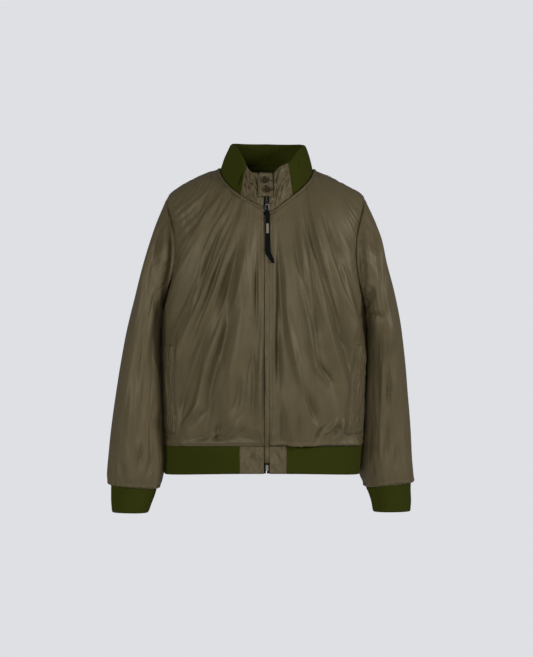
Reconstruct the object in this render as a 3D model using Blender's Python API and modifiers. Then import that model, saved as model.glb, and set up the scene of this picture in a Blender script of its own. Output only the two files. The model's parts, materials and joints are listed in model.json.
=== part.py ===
"""Nylon swing jacket with a rib-knit collar, cuffs and hem, filled out and hollow.

Metres, +Z up. +X is the wearer's left and -Y the front. The origin is where the jacket rests
on the shoulders: the middle of the neck, at the height where the shoulder line meets the neck.
"""
import math

import bmesh
import bpy
import numpy as np
from mathutils import Matrix, Vector

# Cloth walls
NYLON = 0.0016
RIB = 0.0024
TAPE = 0.0012
TRIM = 0.0012
SEAM = 0.0005           # space between two sewn pieces that run in line
NECK_SEAM = 0.0011      # more space where their walls meet at an angle
SHOULDER_SEAM = 0.0011
ARMHOLE_SEAM = 0.0015
LAY = 0.0005            # space under a piece that lies on another

# Body cut: rings from the neck seam down to the hem seam. right and left are half widths, front
# and back are depths, z_ is the height there, and square is 2 for an ellipse and more for a box.
BODY_COLUMNS = ("right", "left", "front", "back", "z_front", "z_right", "z_left", "z_back", "square")
BODY_RINGS = (
    (0.0960, 0.0965, 0.1060, 0.0750, -0.0950, 0.0030, 0.0015, 0.0130, 2.00),
    (0.1500, 0.1520, 0.1190, 0.1030, -0.1340, -0.0160, -0.0235, -0.0300, 2.12),
    (0.2090, 0.2056, 0.1280, 0.1170, -0.1720, -0.0590, -0.0590, -0.0900, 1.92),
    (0.2120, 0.2085, 0.1340, 0.1230, -0.2040, -0.1205, -0.1205, -0.1400, 2.06),
    (0.2130, 0.2085, 0.1370, 0.1250, -0.2360, -0.1820, -0.1820, -0.1900, 2.20),
    (0.2160, 0.2085, 0.1380, 0.1250, -0.2700, -0.2435, -0.2435, -0.2435, 2.30),
    (0.2200, 0.2090, 0.1380, 0.1230, -0.3080, -0.3050, -0.3050, -0.3050, 2.30),
    (0.2225, 0.2095, 0.1370, 0.1190, -0.3720, -0.3720, -0.3720, -0.3720, 2.30),
    (0.2210, 0.2075, 0.1340, 0.1150, -0.4390, -0.4390, -0.4390, -0.4390, 2.30),
    (0.2195, 0.2050, 0.1300, 0.1110, -0.5065, -0.5065, -0.5065, -0.5065, 2.30),
    (0.2180, 0.2030, 0.1240, 0.1070, -0.5480, -0.5500, -0.5500, -0.5500, 2.30),
    (0.2165, 0.2005, 0.1140, 0.1030, -0.5735, -0.5770, -0.5770, -0.5770, 2.30),
)
NECK_SKEW = 0.0080      # the neck seam runs this much lower on the left of the zip, higher on its right
NECK_SKEW_REACH = 0.030
TIP_RING = 2            # ring that passes through the shoulder tips
UNDERARM_RING = 6
HEM_RING = 11
ARMHOLE_FRONT = 0.070   # half depths of the oval armhole
ARMHOLE_BACK = 0.064

# Panel grids
SHOULDER_ROWS = 6
ARMHOLE_ROWS = 12
SIDE_ROWS = 11
FRONT_COLUMNS = 14      # from the zip to the pocket line
POCKET_COLUMNS = 4      # from the pocket line to the side seam
BACK_COLUMNS = 26
SEAM_FADE = 0.016       # folds die away over this length at a seam
POCKET_LINE = {"right": (0.598, 0.639), "left": (0.709, 0.529)}
POCKET_ROWS = (2, 9)    # rows below the underarm

# Sleeves: sections from the armhole to the cuff seam.
SLEEVE_COLUMNS = ("x_out", "z_out", "x_in", "z_in", "y", "depth")
SLEEVE_SECTIONS = {
    "right": (
        (0.2365, -0.1260, 0.2225, -0.3180, -0.0030, 0.0820),
        (0.2585, -0.2000, 0.2262, -0.3380, -0.0080, 0.0890),
        (0.2745, -0.2620, 0.2275, -0.3620, -0.0120, 0.0900),
        (0.2900, -0.3300, 0.2278, -0.3950, -0.0180, 0.0860),
        (0.3025, -0.4000, 0.2275, -0.4300, -0.0220, 0.0790),
        (0.3145, -0.4750, 0.2268, -0.4850, -0.0260, 0.0700),
        (0.3230, -0.5400, 0.2258, -0.5400, -0.0280, 0.0640),
        (0.3287, -0.6000, 0.2232, -0.6020, -0.0300, 0.0580),
        (0.3312, -0.6320, 0.2200, -0.6360, -0.0300, 0.0530),
        (0.3300, -0.6480, 0.2210, -0.6540, -0.0300, 0.0460),
        (0.3245, -0.6590, 0.2290, -0.6670, -0.0300, 0.0370),
    ),
    "left": (
        (0.2352, -0.1260, 0.2140, -0.3180, 0.0040, 0.0800),
        (0.2525, -0.1950, 0.2168, -0.3380, 0.0120, 0.0870),
        (0.2690, -0.2550, 0.2170, -0.3620, 0.0220, 0.0890),
        (0.2850, -0.3300, 0.2160, -0.3950, 0.0320, 0.0850),
        (0.2940, -0.4000, 0.2140, -0.4300, 0.0400, 0.0780),
        (0.3005, -0.4750, 0.2105, -0.4850, 0.0450, 0.0700),
        (0.3050, -0.5400, 0.2065, -0.5400, 0.0470, 0.0640),
        (0.3080, -0.6000, 0.2010, -0.6050, 0.0470, 0.0580),
        (0.3106, -0.6350, 0.2010, -0.6400, 0.0460, 0.0520),
        (0.3112, -0.6510, 0.2050, -0.6560, 0.0450, 0.0460),
        (0.3070, -0.6600, 0.2110, -0.6690, 0.0440, 0.0380),
    ),
}
CUFF_SECTIONS = {
    "right": (
        (0.3242, -0.6594, 0.2293, -0.6674, -0.0300, 0.0367),
        (0.3235, -0.6760, 0.2340, -0.6820, -0.0300, 0.0345),
        (0.3232, -0.6980, 0.2410, -0.7000, -0.0300, 0.0335),
        (0.3225, -0.7150, 0.2462, -0.7165, -0.0300, 0.0325),
    ),
    "left": (
        (0.3067, -0.6604, 0.2113, -0.6694, 0.0440, 0.0377),
        (0.3056, -0.6780, 0.2180, -0.6840, 0.0440, 0.0355),
        (0.3066, -0.7010, 0.2235, -0.7030, 0.0440, 0.0345),
        (0.3060, -0.7200, 0.2258, -0.7210, 0.0440, 0.0335),
    ),
}
SLEEVE_SQUARE = 2.25
CAP_ROWS = 2            # rows between two sections near the armhole
CAP_SECTIONS = 5
SLEEVE_FADE = 0.020

# Collar: top edge height against the angle round the neck, 0 in front, +90 at +X.
COLLAR_TOP = (
    (-180, 0.0605), (-120, 0.0590), (-90, 0.0550), (-68, 0.0530), (-60, 0.0460), (-50, 0.0335),
    (-37, 0.0138), (-33, -0.0005), (-25, -0.0115), (-12, -0.0125), (0, -0.0135), (8, -0.0146),
    (14, -0.0090), (19, 0.0010), (29, 0.0060), (34, 0.0085), (45, 0.0245), (55, 0.0359),
    (67, 0.0450), (78, 0.0500), (90, 0.0525), (120, 0.0570), (180, 0.0605),
)
COLLAR_TOP_WIDTH = {"right": 0.0735, "left": 0.0805}
COLLAR_TOP_DEPTH = {"front": 0.0850, "back": 0.0620}
COLLAR_BULGE = 0.0015
COLLAR_RIB_ANGLE = 34.0
COLLAR_END_ANGLE = 3.2
COLLAR_ROWS = 4
TAB_ANGLES = (-11.2, 8.4)
TAB_HEIGHTS = (-0.0132, -0.0628)
BINDING_SPAN = (0.06, 0.40)     # shares of the panels' first row
BINDING_LAY = 0.0009    # the panels' faces are twisted at the neck, so it has more room

# Hem band
HEM_BOTTOM = {"right": 0.2160, "left": 0.1965, "front": 0.1150, "back": 0.1010,
              "z_front": -0.6300, "z_side": -0.6370, "z_back": -0.6370}
HEM_TUCK = 0.012        # share that the folded bottom edge draws in
HEM_ROWS = (0, 0.3, 0.6, 0.9, 1)
HEM_END_ANGLE = {"right": 12.0, "left": 9.5}
HEM_COLUMNS = 40

# Zip
FRONT_EDGE = {"right": 0.0048, "left": 0.0062}
FLY_EDGES = (-0.0040, 0.0054)
FLY_Z = (-0.1000, -0.6100)
TAPE_EDGES = (0.0009, 0.0120)
TAPE_COLLAR_SHARES = (0.7, 0.45, 0.2)
TAPE_HEM_SHARES = (0.3, 0.6, 0.9)
SEAT = 0.0003           # space between hard pieces that rest on each other
PULL_X = 0.0012
SLIDER_Z = -0.0800
SLIDER_SIZE = (0.0085, 0.0042, 0.0120)
SLIDER_TAPER = 0.72     # share of its width at the lower end
SLIDER_LIFT = 0.0008    # its middle is this far outside the cloth
BRIDGE_REACH = 0.0038
BRIDGE_WIRE = 0.0008
BRIDGE_STEPS = 8
RING_WIRE = 0.0008
RING_WIDTH = 0.0076
RING_CORNER = 0.45      # 1 is an oval, less is squarer
RING_LENGTH = 0.0135
RING_STEPS = 16
BOX_SIZE = (0.0056, 0.0030, 0.0120)
BOX_Z = -0.6175
# The strap: how far below the ring's bar each row is, its half width, its shift to +X and how
# far its back is from the cloth.
STRAP_COLUMNS = ("down", "half", "shift", "clear")
STRAP_ROWS = (
    (0.0000, 0.0020, 0.0000, 0.0036),
    (0.0045, 0.0046, 0.0001, 0.0034),
    (0.0140, 0.0050, 0.0003, 0.0028),
    (0.0270, 0.0054, 0.0006, 0.0018),
    (0.0370, 0.0056, 0.0008, 0.0014),
    (0.0470, 0.0057, 0.0010, 0.0012),
    (0.0620, 0.0058, 0.0013, 0.0012),
    (0.0770, 0.0058, 0.0017, 0.0012),
    (0.0880, 0.0054, 0.0042, 0.0016),
    (0.0990, 0.0045, 0.0088, 0.0022),
    (0.1080, 0.0034, 0.0125, 0.0028),
)
STRAP_THICK = 0.0010
LOOP_BACK = (0.008, 0.004)      # the folded end behind the ring's bar
LOOP_STEPS = 5
LABEL_ROWS = (3, 5)             # rows of the strap under the bare label
LABEL_HALF = 0.0029
LABEL_THICK = 0.0006

# Buttons
BUTTON_RADIUS = 0.0078
BUTTON_THICK = 0.0030
BUTTON_RIM = 0.0020
BUTTON_DISH = 0.0007
BUTTON_HOLE = 0.0009
BUTTON_HOLE_AT = 0.0015
BUTTON_STEPS = 16
BUTTON_SAG = 0.0004     # extra room where the round tab curves away under the flat button
BUTTONS = {"button_upper": (-0.0034, -0.0290), "button_lower": (0.0002, -0.0476)}

# Folds: a start, a middle and an end that the fold runs through in the view from the front
# (x, z), its height out of the cloth and its half width. A negative height is a trough.
FRONT_FOLDS = (
    (-0.058, -0.095, -0.124, -0.236, -0.178, -0.374, 0.0060, 0.0115),
    (-0.104, -0.150, -0.132, -0.236, -0.158, -0.335, -0.0065, 0.0115),
    (-0.062, -0.135, -0.109, -0.267, -0.173, -0.421, 0.0055, 0.0115),
    (-0.070, -0.150, -0.103, -0.224, -0.144, -0.336, -0.0040, 0.0115),
    (-0.046, -0.110, -0.101, -0.275, -0.184, -0.520, -0.0075, 0.0155),
    (-0.128, -0.085, -0.142, -0.130, -0.158, -0.195, -0.0040, 0.0170),
    (-0.087, -0.335, -0.092, -0.370, -0.098, -0.400, -0.0030, 0.0115),
    (-0.069, -0.395, -0.063, -0.462, -0.087, -0.520, -0.0050, 0.0145),
    (-0.136, -0.568, -0.112, -0.560, -0.096, -0.545, 0.0050, 0.0090),
    (-0.088, -0.572, -0.068, -0.540, -0.044, -0.506, 0.0055, 0.0090),
    (-0.104, -0.574, -0.101, -0.545, -0.098, -0.520, -0.0045, 0.0090),
    (0.088, -0.075, 0.1165, -0.2076, 0.165, -0.355, 0.0060, 0.0125),
    (0.128, -0.135, 0.145, -0.198, 0.161, -0.275, -0.0060, 0.0125),
    (0.052, -0.168, 0.076, -0.296, 0.090, -0.399, 0.0050, 0.0115),
    (0.077, -0.105, 0.0945, -0.255, 0.096, -0.389, -0.0060, 0.0145),
    (0.090, -0.385, 0.113, -0.4295, 0.155, -0.472, 0.0055, 0.0115),
    (0.100, -0.370, 0.122, -0.412, 0.158, -0.452, -0.0055, 0.0125),
    (0.035, -0.200, 0.050, -0.356, 0.084, -0.495, 0.0050, 0.0130),
    (0.068, -0.425, 0.080, -0.470, 0.108, -0.520, -0.0050, 0.0115),
    (0.116, -0.572, 0.130, -0.545, 0.148, -0.522, 0.0050, 0.0090),
    (0.150, -0.572, 0.140, -0.548, 0.118, -0.516, -0.0045, 0.0085),
    (0.160, -0.570, 0.158, -0.548, 0.150, -0.525, 0.0045, 0.0085),
    (0.058, -0.572, 0.064, -0.535, 0.058, -0.480, -0.0035, 0.0115),
)
BACK_FOLDS = (
    (-0.120, -0.110, -0.085, -0.260, -0.110, -0.440, 0.0060, 0.0140),
    (0.115, -0.105, 0.090, -0.270, 0.118, -0.430, 0.0065, 0.0130),
    (-0.050, -0.080, -0.030, -0.250, -0.052, -0.420, -0.0050, 0.0150),
    (0.045, -0.085, 0.036, -0.230, 0.060, -0.460, -0.0045, 0.0150),
    (-0.165, -0.330, -0.140, -0.430, -0.150, -0.560, 0.0060, 0.0120),
    (0.160, -0.350, 0.138, -0.440, 0.146, -0.560, 0.0055, 0.0120),
    (-0.080, -0.470, -0.078, -0.530, -0.090, -0.574, -0.0050, 0.0090),
    (-0.010, -0.480, -0.004, -0.530, -0.008, -0.574, 0.0050, 0.0090),
    (0.078, -0.490, 0.086, -0.530, 0.080, -0.574, -0.0050, 0.0090),
)
# Sleeve folds: the angle round the sleeve (0 outer, 90 front, 270 back) and how far down it
# they run, from 0 at the armhole to 1 at the cuff seam.
SLEEVE_FOLDS = {
    "right": (
        (92, 0.02, 96, 0.12, 104, 0.34, -0.0110, 18),
        (58, 0.06, 62, 0.26, 68, 0.52, 0.0060, 19),
        (86, 0.34, 92, 0.56, 86, 0.84, -0.0055, 18),
        (36, 0.22, 40, 0.44, 46, 0.74, -0.0040, 18),
        (116, 0.50, 120, 0.74, 118, 0.98, 0.0055, 18),
        (66, 0.74, 68, 0.88, 70, 1.00, -0.0050, 14),
        (262, 0.04, 258, 0.18, 250, 0.42, -0.0080, 19),
        (300, 0.10, 296, 0.40, 290, 0.75, 0.0055, 19),
        (240, 0.60, 246, 0.80, 250, 1.00, 0.0050, 18),
        (284, 0.80, 282, 0.92, 280, 1.00, -0.0050, 14),
    ),
    "left": (
        (90, 0.02, 94, 0.14, 100, 0.30, -0.0100, 18),
        (56, 0.05, 60, 0.27, 54, 0.52, 0.0065, 19),
        (82, 0.28, 86, 0.44, 74, 0.62, -0.0055, 18),
        (50, 0.46, 56, 0.66, 60, 0.92, 0.0060, 18),
        (88, 0.60, 84, 0.80, 80, 1.00, -0.0050, 16),
        (264, 0.04, 260, 0.20, 252, 0.44, -0.0080, 19),
        (298, 0.12, 292, 0.42, 288, 0.72, 0.0055, 19),
        (244, 0.58, 248, 0.80, 252, 1.00, 0.0050, 18),
        (280, 0.80, 278, 0.92, 276, 1.00, -0.0050, 14),
    ),
}

COLOURS = {
    "nylon": ((0.088, 0.073, 0.042), 0.45, 0.0),
    "rib": ((0.030, 0.034, 0.008), 0.9, 0.0),
    "tape": ((0.006, 0.007, 0.008), 0.8, 0.0),
    "metal": ((0.55, 0.54, 0.52), 0.3, 1.0),
    "resin": ((0.040, 0.030, 0.014), 0.3, 0.0),
    "strap": ((0.006, 0.007, 0.008), 0.7, 0.0),
    "label": ((0.42, 0.38, 0.30), 0.8, 0.0),
}


def clear_scene():
    for item in list(bpy.data.objects):
        bpy.data.objects.remove(item, do_unlink=True)


def spline_rows(table, t):
    """Rows of a table, joined by smooth curves, read at the row positions t."""
    rows = np.asarray(table, dtype=float)
    last = len(rows) - 1
    slopes = np.gradient(rows, axis=0)
    t = np.clip(np.asarray(t, dtype=float), 0, last)
    low = np.minimum(np.floor(t).astype(int), last - 1)
    f = (t - low)[..., None]
    a, b = rows[low], rows[low + 1]
    ta, tb = slopes[low], slopes[low + 1]
    return ((1 + 2 * f) * (1 - f) ** 2 * a + f * (1 - f) ** 2 * ta
            + f * f * (3 - 2 * f) * b + f * f * (f - 1) * tb)


def smooth_step(x):
    x = np.clip(x, 0, 1)
    return x * x * (3 - 2 * x)


def body_sizes(t):
    """The body ring at t, as a dictionary of its columns."""
    values = spline_rows(BODY_RINGS, t)
    return {name: values[..., i] for i, name in enumerate(BODY_COLUMNS)}


def body_point(t, angle):
    """A point of the smooth body, angle in degrees: 0 in front, 90 at +X, 180 behind."""
    t, angle = np.broadcast_arrays(np.asarray(t, float), np.asarray(angle, float))
    ring = body_sizes(t)
    rad = np.radians(angle)
    s, c = np.sin(rad), np.cos(rad)
    width = np.where(s >= 0, ring["left"], ring["right"])
    depth = np.where(c >= 0, ring["front"], ring["back"])
    power = 2 / ring["square"]
    x = width * np.sign(s) * np.abs(s) ** power
    y = -depth * np.sign(c) * np.abs(c) ** power
    z_side = np.where(s >= 0, ring["z_left"], ring["z_right"])
    z_end = np.where(c >= 0, ring["z_front"], ring["z_back"])
    vee = np.clip(1 - t / TIP_RING, 0, 1) ** 2 * (c >= 0)
    straight = np.abs(np.arcsin(np.clip(s, -1, 1))) / (math.pi / 2)
    share = vee * straight + (1 - vee) * s * s
    z = z_end + (z_side - z_end) * share
    skew = NECK_SKEW * np.tanh(x / NECK_SKEW_REACH * 2) * np.exp(-(x / NECK_SKEW_REACH) ** 2)
    z = z - skew * np.clip(1 - t, 0, 1) ** 2 * (c > 0)
    return np.stack([x, y, z], axis=-1)


def angle_at_x(t, x):
    """The front angle where the body ring at t is x from the middle."""
    ring = body_sizes(t)
    width = np.where(np.asarray(x) >= 0, ring["left"], ring["right"])
    share = np.clip(np.abs(x) / width, 0, 1)
    return np.degrees(np.arcsin(share ** (ring["square"] / 2))) * np.sign(x)


def armhole_angle(t, face):
    """How far round, from the front or the back, a panel reaches before the sleeve or side."""
    ring = body_sizes(t)
    w = (np.asarray(t, float) - TIP_RING) / (UNDERARM_RING - TIP_RING)
    inside = np.clip(1 - (2 * w - 1) ** 2, 0, 1)
    oval = np.sqrt(inside)
    depth = (ARMHOLE_FRONT if face == "front" else ARMHOLE_BACK) * oval
    share = np.clip(depth / ring[face], 0, 1)
    return np.degrees(np.arccos(share ** (ring["square"] / 2)))


def panel_rows(rounding=0.0):
    """Ring positions of the panel rows: even, or with rounding 1 as the armhole oval needs."""
    shoulder = np.linspace(0, TIP_RING, SHOULDER_ROWS + 1)[:-1]
    even = np.linspace(0, 1, ARMHOLE_ROWS + 1)
    w = even + ((1 - np.cos(math.pi * even)) / 2 - even) * rounding
    armhole = TIP_RING + w * (UNDERARM_RING - TIP_RING)
    side = np.linspace(UNDERARM_RING, HEM_RING, SIDE_ROWS + 1)[1:]
    return np.concatenate([shoulder, armhole, side])


def panel_grid_rows(shares):
    """Ring positions for each row and column: even at share 0, rounded at the armhole, 1."""
    return np.stack([panel_rows(smooth_step(share)) for share in shares], axis=1)


def grid_normals(points, closed=False):
    """Unit normals of a grid whose rows run down and whose columns run round to the right."""
    if closed:
        wrapped = np.concatenate([points[:, -2:-1], points, points[:, 1:2]], axis=1)
        across = (wrapped[:, 2:] - wrapped[:, :-2])
    else:
        across = np.gradient(points, axis=1)
    down = np.gradient(points, axis=0)
    normal = np.cross(down, across)
    length = np.linalg.norm(normal, axis=-1, keepdims=True)
    return normal / np.maximum(length, 1e-9)


def fold_height(u, v, folds):
    """Sum of the folds at the places (u, v), each a soft ridge or trough along a bent line."""
    total = np.zeros_like(u)
    for u0, v0, u1, v1, u2, v2, height, width in folds:
        best = np.full_like(u, 1e9)
        along = np.zeros_like(u)
        steps = np.linspace(0, 1, 13)
        bend_u, bend_v = 2 * u1 - (u0 + u2) / 2, 2 * v1 - (v0 + v2) / 2
        line_u = (1 - steps) ** 2 * u0 + 2 * steps * (1 - steps) * bend_u + steps ** 2 * u2
        line_v = (1 - steps) ** 2 * v0 + 2 * steps * (1 - steps) * bend_v + steps ** 2 * v2
        for i in range(len(steps) - 1):
            du, dv = line_u[i + 1] - line_u[i], line_v[i + 1] - line_v[i]
            f = ((u - line_u[i]) * du + (v - line_v[i]) * dv) / (du * du + dv * dv)
            f = np.clip(f, 0, 1)
            gap = np.hypot(u - line_u[i] - f * du, v - line_v[i] - f * dv)
            nearer = gap < best
            best = np.where(nearer, gap, best)
            along = np.where(nearer, (i + f) / (len(steps) - 1), along)
        fade = smooth_step(along / 0.25) * smooth_step((1 - along) / 0.25)
        total += height * fade * np.exp(-(best / width) ** 2)
    return total


def edge_fade(points, lengths, closed=False):
    """0 at the seams and 1 inside. lengths: top, bottom, first column, last column."""
    step_down = np.linalg.norm(np.diff(points, axis=0), axis=-1)
    down = np.concatenate([np.zeros((1, points.shape[1])), np.cumsum(step_down, axis=0)])
    fade = smooth_step(down / lengths[0]) * smooth_step((down[-1] - down) / lengths[1])
    if not closed:
        step = np.linalg.norm(np.diff(points, axis=1), axis=-1)
        across = np.concatenate([np.zeros((points.shape[0], 1)), np.cumsum(step, axis=1)], axis=1)
        fade = fade * smooth_step(across / lengths[2])
        fade = fade * smooth_step((across[:, -1:] - across) / lengths[3])
    return fade


def front_points(side):
    """Outer points of a front, from the neck to the hem seam and from -X to +X."""
    columns = FRONT_COLUMNS + POCKET_COLUMNS
    t = panel_grid_rows(np.linspace(0, 1, columns + 1))
    sign = 1 if side == "left" else -1
    start = np.abs(angle_at_x(t, sign * FRONT_EDGE[side]))
    end = armhole_angle(t, "front")
    drop = smooth_step((t - TIP_RING - 2) / (HEM_RING - TIP_RING - 2))
    high, low = POCKET_LINE[side]
    pocket = end * (high + (low - high) * drop)
    near = np.clip(np.arange(columns + 1) / FRONT_COLUMNS, 0, 1)
    far = np.clip((np.arange(columns + 1) - FRONT_COLUMNS) / POCKET_COLUMNS, 0, 1)
    angles = start + (pocket - start) * near + (end - pocket) * far
    points = body_point(t, sign * angles)
    points[:, -1] = seam_in(points[:, -1], points[:, -2], panel_seam())
    if side == "right":
        points = points[:, ::-1]
    height = fold_height(points[..., 0], points[..., 2], FRONT_FOLDS)
    height *= edge_fade(points, (SEAM_FADE, SEAM_FADE / 3, SEAM_FADE, SEAM_FADE))
    return points + grid_normals(points) * height[..., None]


def seam_in(edge, inside, space=SEAM):
    """Half a seam's space back from an edge, towards the next column of points."""
    way = inside - edge
    return edge + way / np.linalg.norm(way, axis=-1, keepdims=True) * space / 2


def panel_seam():
    """The seam space of each panel row: wide on the shoulder ridge, narrow down the side."""
    rows = np.arange(SHOULDER_ROWS + ARMHOLE_ROWS + SIDE_ROWS + 1)
    return np.where(rows <= SHOULDER_ROWS + 1, SHOULDER_SEAM, SEAM)[:, None]


def back_points():
    """Outer points of the back, from +X round to -X as seen from behind."""
    share = np.linspace(-1, 1, BACK_COLUMNS + 1)
    t = panel_grid_rows(np.abs(share))
    angles = 180 + armhole_angle(t, "back") * share
    points = body_point(t, angles)
    points[:, 0] = seam_in(points[:, 0], points[:, 1], panel_seam())
    points[:, -1] = seam_in(points[:, -1], points[:, -2], panel_seam())
    height = fold_height(points[..., 0], points[..., 2], BACK_FOLDS)
    height *= edge_fade(points, (SEAM_FADE, SEAM_FADE / 3, SEAM_FADE, SEAM_FADE))
    return points + grid_normals(points) * height[..., None]


def armhole_loop(side):
    """Points of the armhole: shoulder tip, front, underarm, back and round to the tip."""
    sign = 1 if side == "left" else -1
    t = panel_rows(1.0)[SHOULDER_ROWS:SHOULDER_ROWS + ARMHOLE_ROWS + 1]
    front = body_point(t, sign * armhole_angle(t, "front"))
    back = body_point(t, sign * (180 - armhole_angle(t, "back")))
    return np.concatenate([front, back[::-1][1:]])


def section_loop(values, sign, angles):
    """A closed sleeve section: 0 is its outer point, 90 the front and 180 the inner point."""
    x_out, z_out, x_in, z_in, y, depth = values
    rad = np.radians(angles)
    power = 2 / SLEEVE_SQUARE
    c = np.sign(np.cos(rad)) * np.abs(np.cos(rad)) ** power
    s = np.sign(np.sin(rad)) * np.abs(np.sin(rad)) ** power
    x = (x_out + x_in) / 2 + (x_out - x_in) / 2 * c
    z = (z_out + z_in) / 2 + (z_out - z_in) / 2 * c
    return np.stack([sign * x, y - depth * s, z], axis=-1)


def sleeve_points(side):
    """Outer points of a sleeve: rows run down it and columns run round it."""
    sign = 1 if side == "left" else -1
    loop = armhole_loop(side)
    angles = np.linspace(0, 360, len(loop))
    rings = [loop]
    for values in SLEEVE_SECTIONS[side]:
        rings.append(section_loop(values, sign, angles))
    rings = np.array(rings)
    way = rings[1] - rings[0]
    rings[0] += way / np.linalg.norm(way, axis=-1, keepdims=True) * ARMHOLE_SEAM
    last = len(rings) - 1
    cap = np.linspace(0, CAP_SECTIONS, CAP_SECTIONS * CAP_ROWS + 1)
    arm = np.linspace(CAP_SECTIONS, last, (last - CAP_SECTIONS) + 1)[1:]
    t = np.concatenate([cap, arm])
    flat = spline_rows(rings.reshape(len(rings), -1), t)
    points = flat.reshape(len(t), len(loop), 3)
    down = np.linalg.norm(np.diff(points[:, 0], axis=0), axis=-1)
    share = np.concatenate([[0], np.cumsum(down)])
    share = np.repeat((share / share[-1])[:, None], len(loop), axis=1)
    round_it = np.repeat(angles[None, :], len(t), axis=0)
    scale = 90.0        # degrees that count as one sleeve length, for the fold lines
    folds = [(a0 / scale, s0, a1 / scale, s1, a2 / scale, s2, h, w / scale)
             for a0, s0, a1, s1, a2, s2, h, w in SLEEVE_FOLDS[side]]
    height = fold_height(round_it / scale, share, folds)
    height *= edge_fade(points, (SLEEVE_FADE * 0.4, SLEEVE_FADE * 0.3, 1, 1), closed=True)
    normal = grid_normals(points, closed=True) * (-1 if side == "left" else 1)
    return points + normal * height[..., None]


def make_wall(name, points, thickness, material, collection, outward=None, closed=False):
    """A cloth wall: a grid moved onto the outer points, thickened away from the outward side.

    Without outward, a closed wall faces away from its own middle."""
    rows, columns = points.shape[:2]
    mesh = bpy.data.meshes.new(name)
    bm = bmesh.new()
    bmesh.ops.create_grid(bm, x_segments=columns - 1, y_segments=rows - 1, size=1)
    bm.verts.ensure_lookup_table()
    flat = points.reshape(-1, 3)
    for vert, place in zip(bm.verts, flat):
        vert.co = Vector(place)
    if closed:
        bmesh.ops.remove_doubles(bm, verts=bm.verts, dist=1e-6)
    bm.faces.ensure_lookup_table()
    sample = max(bm.faces, key=lambda face: face.calc_area())
    sample.normal_update()
    place = sample.calc_center_median()
    if outward is None:
        middle = Vector(flat.mean(axis=0))
        away = Vector((place.x - middle.x, place.y - middle.y, 0))
    else:
        away = Vector(outward(place))
    if sample.normal.dot(away) < 0:
        bmesh.ops.reverse_faces(bm, faces=bm.faces)
    bm.to_mesh(mesh)
    bm.free()
    item = bpy.data.objects.new(name, mesh)
    collection.objects.link(item)
    solid = item.modifiers.new("Wall", "SOLIDIFY")
    solid.thickness = thickness
    solid.offset = -1
    solid.use_even_offset = True
    solid.thickness_clamp = 0
    mesh.materials.append(material)
    mesh.shade_smooth()
    return item


def away_from_middle(place):
    return (place[0], place[1], 0)


def to_front(place):
    return (0, -1, 0)


def to_back(place):
    return (0, 1, 0)


def lifted(points, distance):
    """Points moved out along the normals of their grid."""
    return points + grid_normals(points) * distance


def welt_points(side):
    """The pocket welt lies on the front panel, on that panel's own points."""
    panel = front_points(side)
    normal = grid_normals(panel)
    top = SHOULDER_ROWS + ARMHOLE_ROWS + POCKET_ROWS[0]
    bottom = SHOULDER_ROWS + ARMHOLE_ROWS + POCKET_ROWS[1]
    rows = slice(top, bottom + 1)
    if side == "left":
        columns = slice(FRONT_COLUMNS, FRONT_COLUMNS + POCKET_COLUMNS)
    else:
        columns = slice(1, POCKET_COLUMNS + 1)
    return panel[rows, columns] + normal[rows, columns] * (LAY + TRIM)


def collar_top(angle):
    """Height of the collar's top edge, with its corners eased."""
    angle = (np.asarray(angle, float) + 180) % 360 - 180
    table = np.array(COLLAR_TOP)
    near = [np.interp(angle + d, table[:, 0], table[:, 1]) for d in (-3, -1.5, 0, 1.5, 3)]
    return sum(near) / len(near)


def collar_point(angle, v):
    """A point of the standing collar: v is 0 at the neck seam and 1 at the top edge."""
    angle, v = np.broadcast_arrays(np.asarray(angle, float), np.asarray(v, float))
    base = body_point(np.zeros_like(angle), angle)
    rad = np.radians(angle)
    s, c = np.sin(rad), np.cos(rad)
    width = np.where(s >= 0, COLLAR_TOP_WIDTH["left"], COLLAR_TOP_WIDTH["right"])
    depth = np.where(c >= 0, COLLAR_TOP_DEPTH["front"], COLLAR_TOP_DEPTH["back"])
    top = np.stack([width * s, -depth * c, collar_top(angle)], axis=-1)
    base = base + np.array([0, 0, NECK_SEAM])
    out = np.stack([s, -c, np.zeros_like(s)], axis=-1)
    bulge = COLLAR_BULGE * np.sin(math.pi * v)
    return base + (top - base) * v[..., None] + out * bulge[..., None]


def collar_at_height(angle, z):
    """The point of the collar over one place of the neck seam, at the height z."""
    low = collar_point(angle, np.zeros_like(angle))[..., 2]
    high = collar_point(angle, np.ones_like(angle))[..., 2]
    return collar_point(angle, (z - low) / (high - low))


def collar_piece(first, last, columns):
    """Outer points of a stretch of the collar, top row first, from +X to -X behind."""
    angles = np.linspace(first, last, columns + 1)
    v = np.linspace(1, 0, COLLAR_ROWS + 1)
    points = collar_point(angles[None, :], v[:, None])
    points[:, 0] = seam_in(points[:, 0], points[:, 1])
    points[:, -1] = seam_in(points[:, -1], points[:, -2])
    return points


def tab_points():
    """The tab lies over both collar ends, with level top and bottom edges."""
    angles = np.linspace(TAB_ANGLES[0], TAB_ANGLES[1], 7)
    heights = np.linspace(TAB_HEIGHTS[0], TAB_HEIGHTS[1], 6)
    points = collar_at_height(np.repeat(angles[None, :], 6, axis=0),
                              np.repeat(heights[:, None], 7, axis=1))
    return lifted(points, LAY + NYLON)


def binding_points():
    """The binding lies on all three panels along the neck seam, on their first two rows."""
    stretches = []
    for panel, columns in ((front_points("left"), slice(0, -1)), (back_points(), slice(None)),
                           (front_points("right"), slice(1, None))):
        normal = grid_normals(panel)
        top, low = panel[0, columns], panel[1, columns]
        out = normal[0, columns] + normal[1, columns]
        out = out / np.linalg.norm(out, axis=-1, keepdims=True) * (BINDING_LAY + TRIM)
        stretches.append(np.stack([top + (low - top) * share + out for share in BINDING_SPAN]))
    return np.concatenate(stretches, axis=1)


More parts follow.
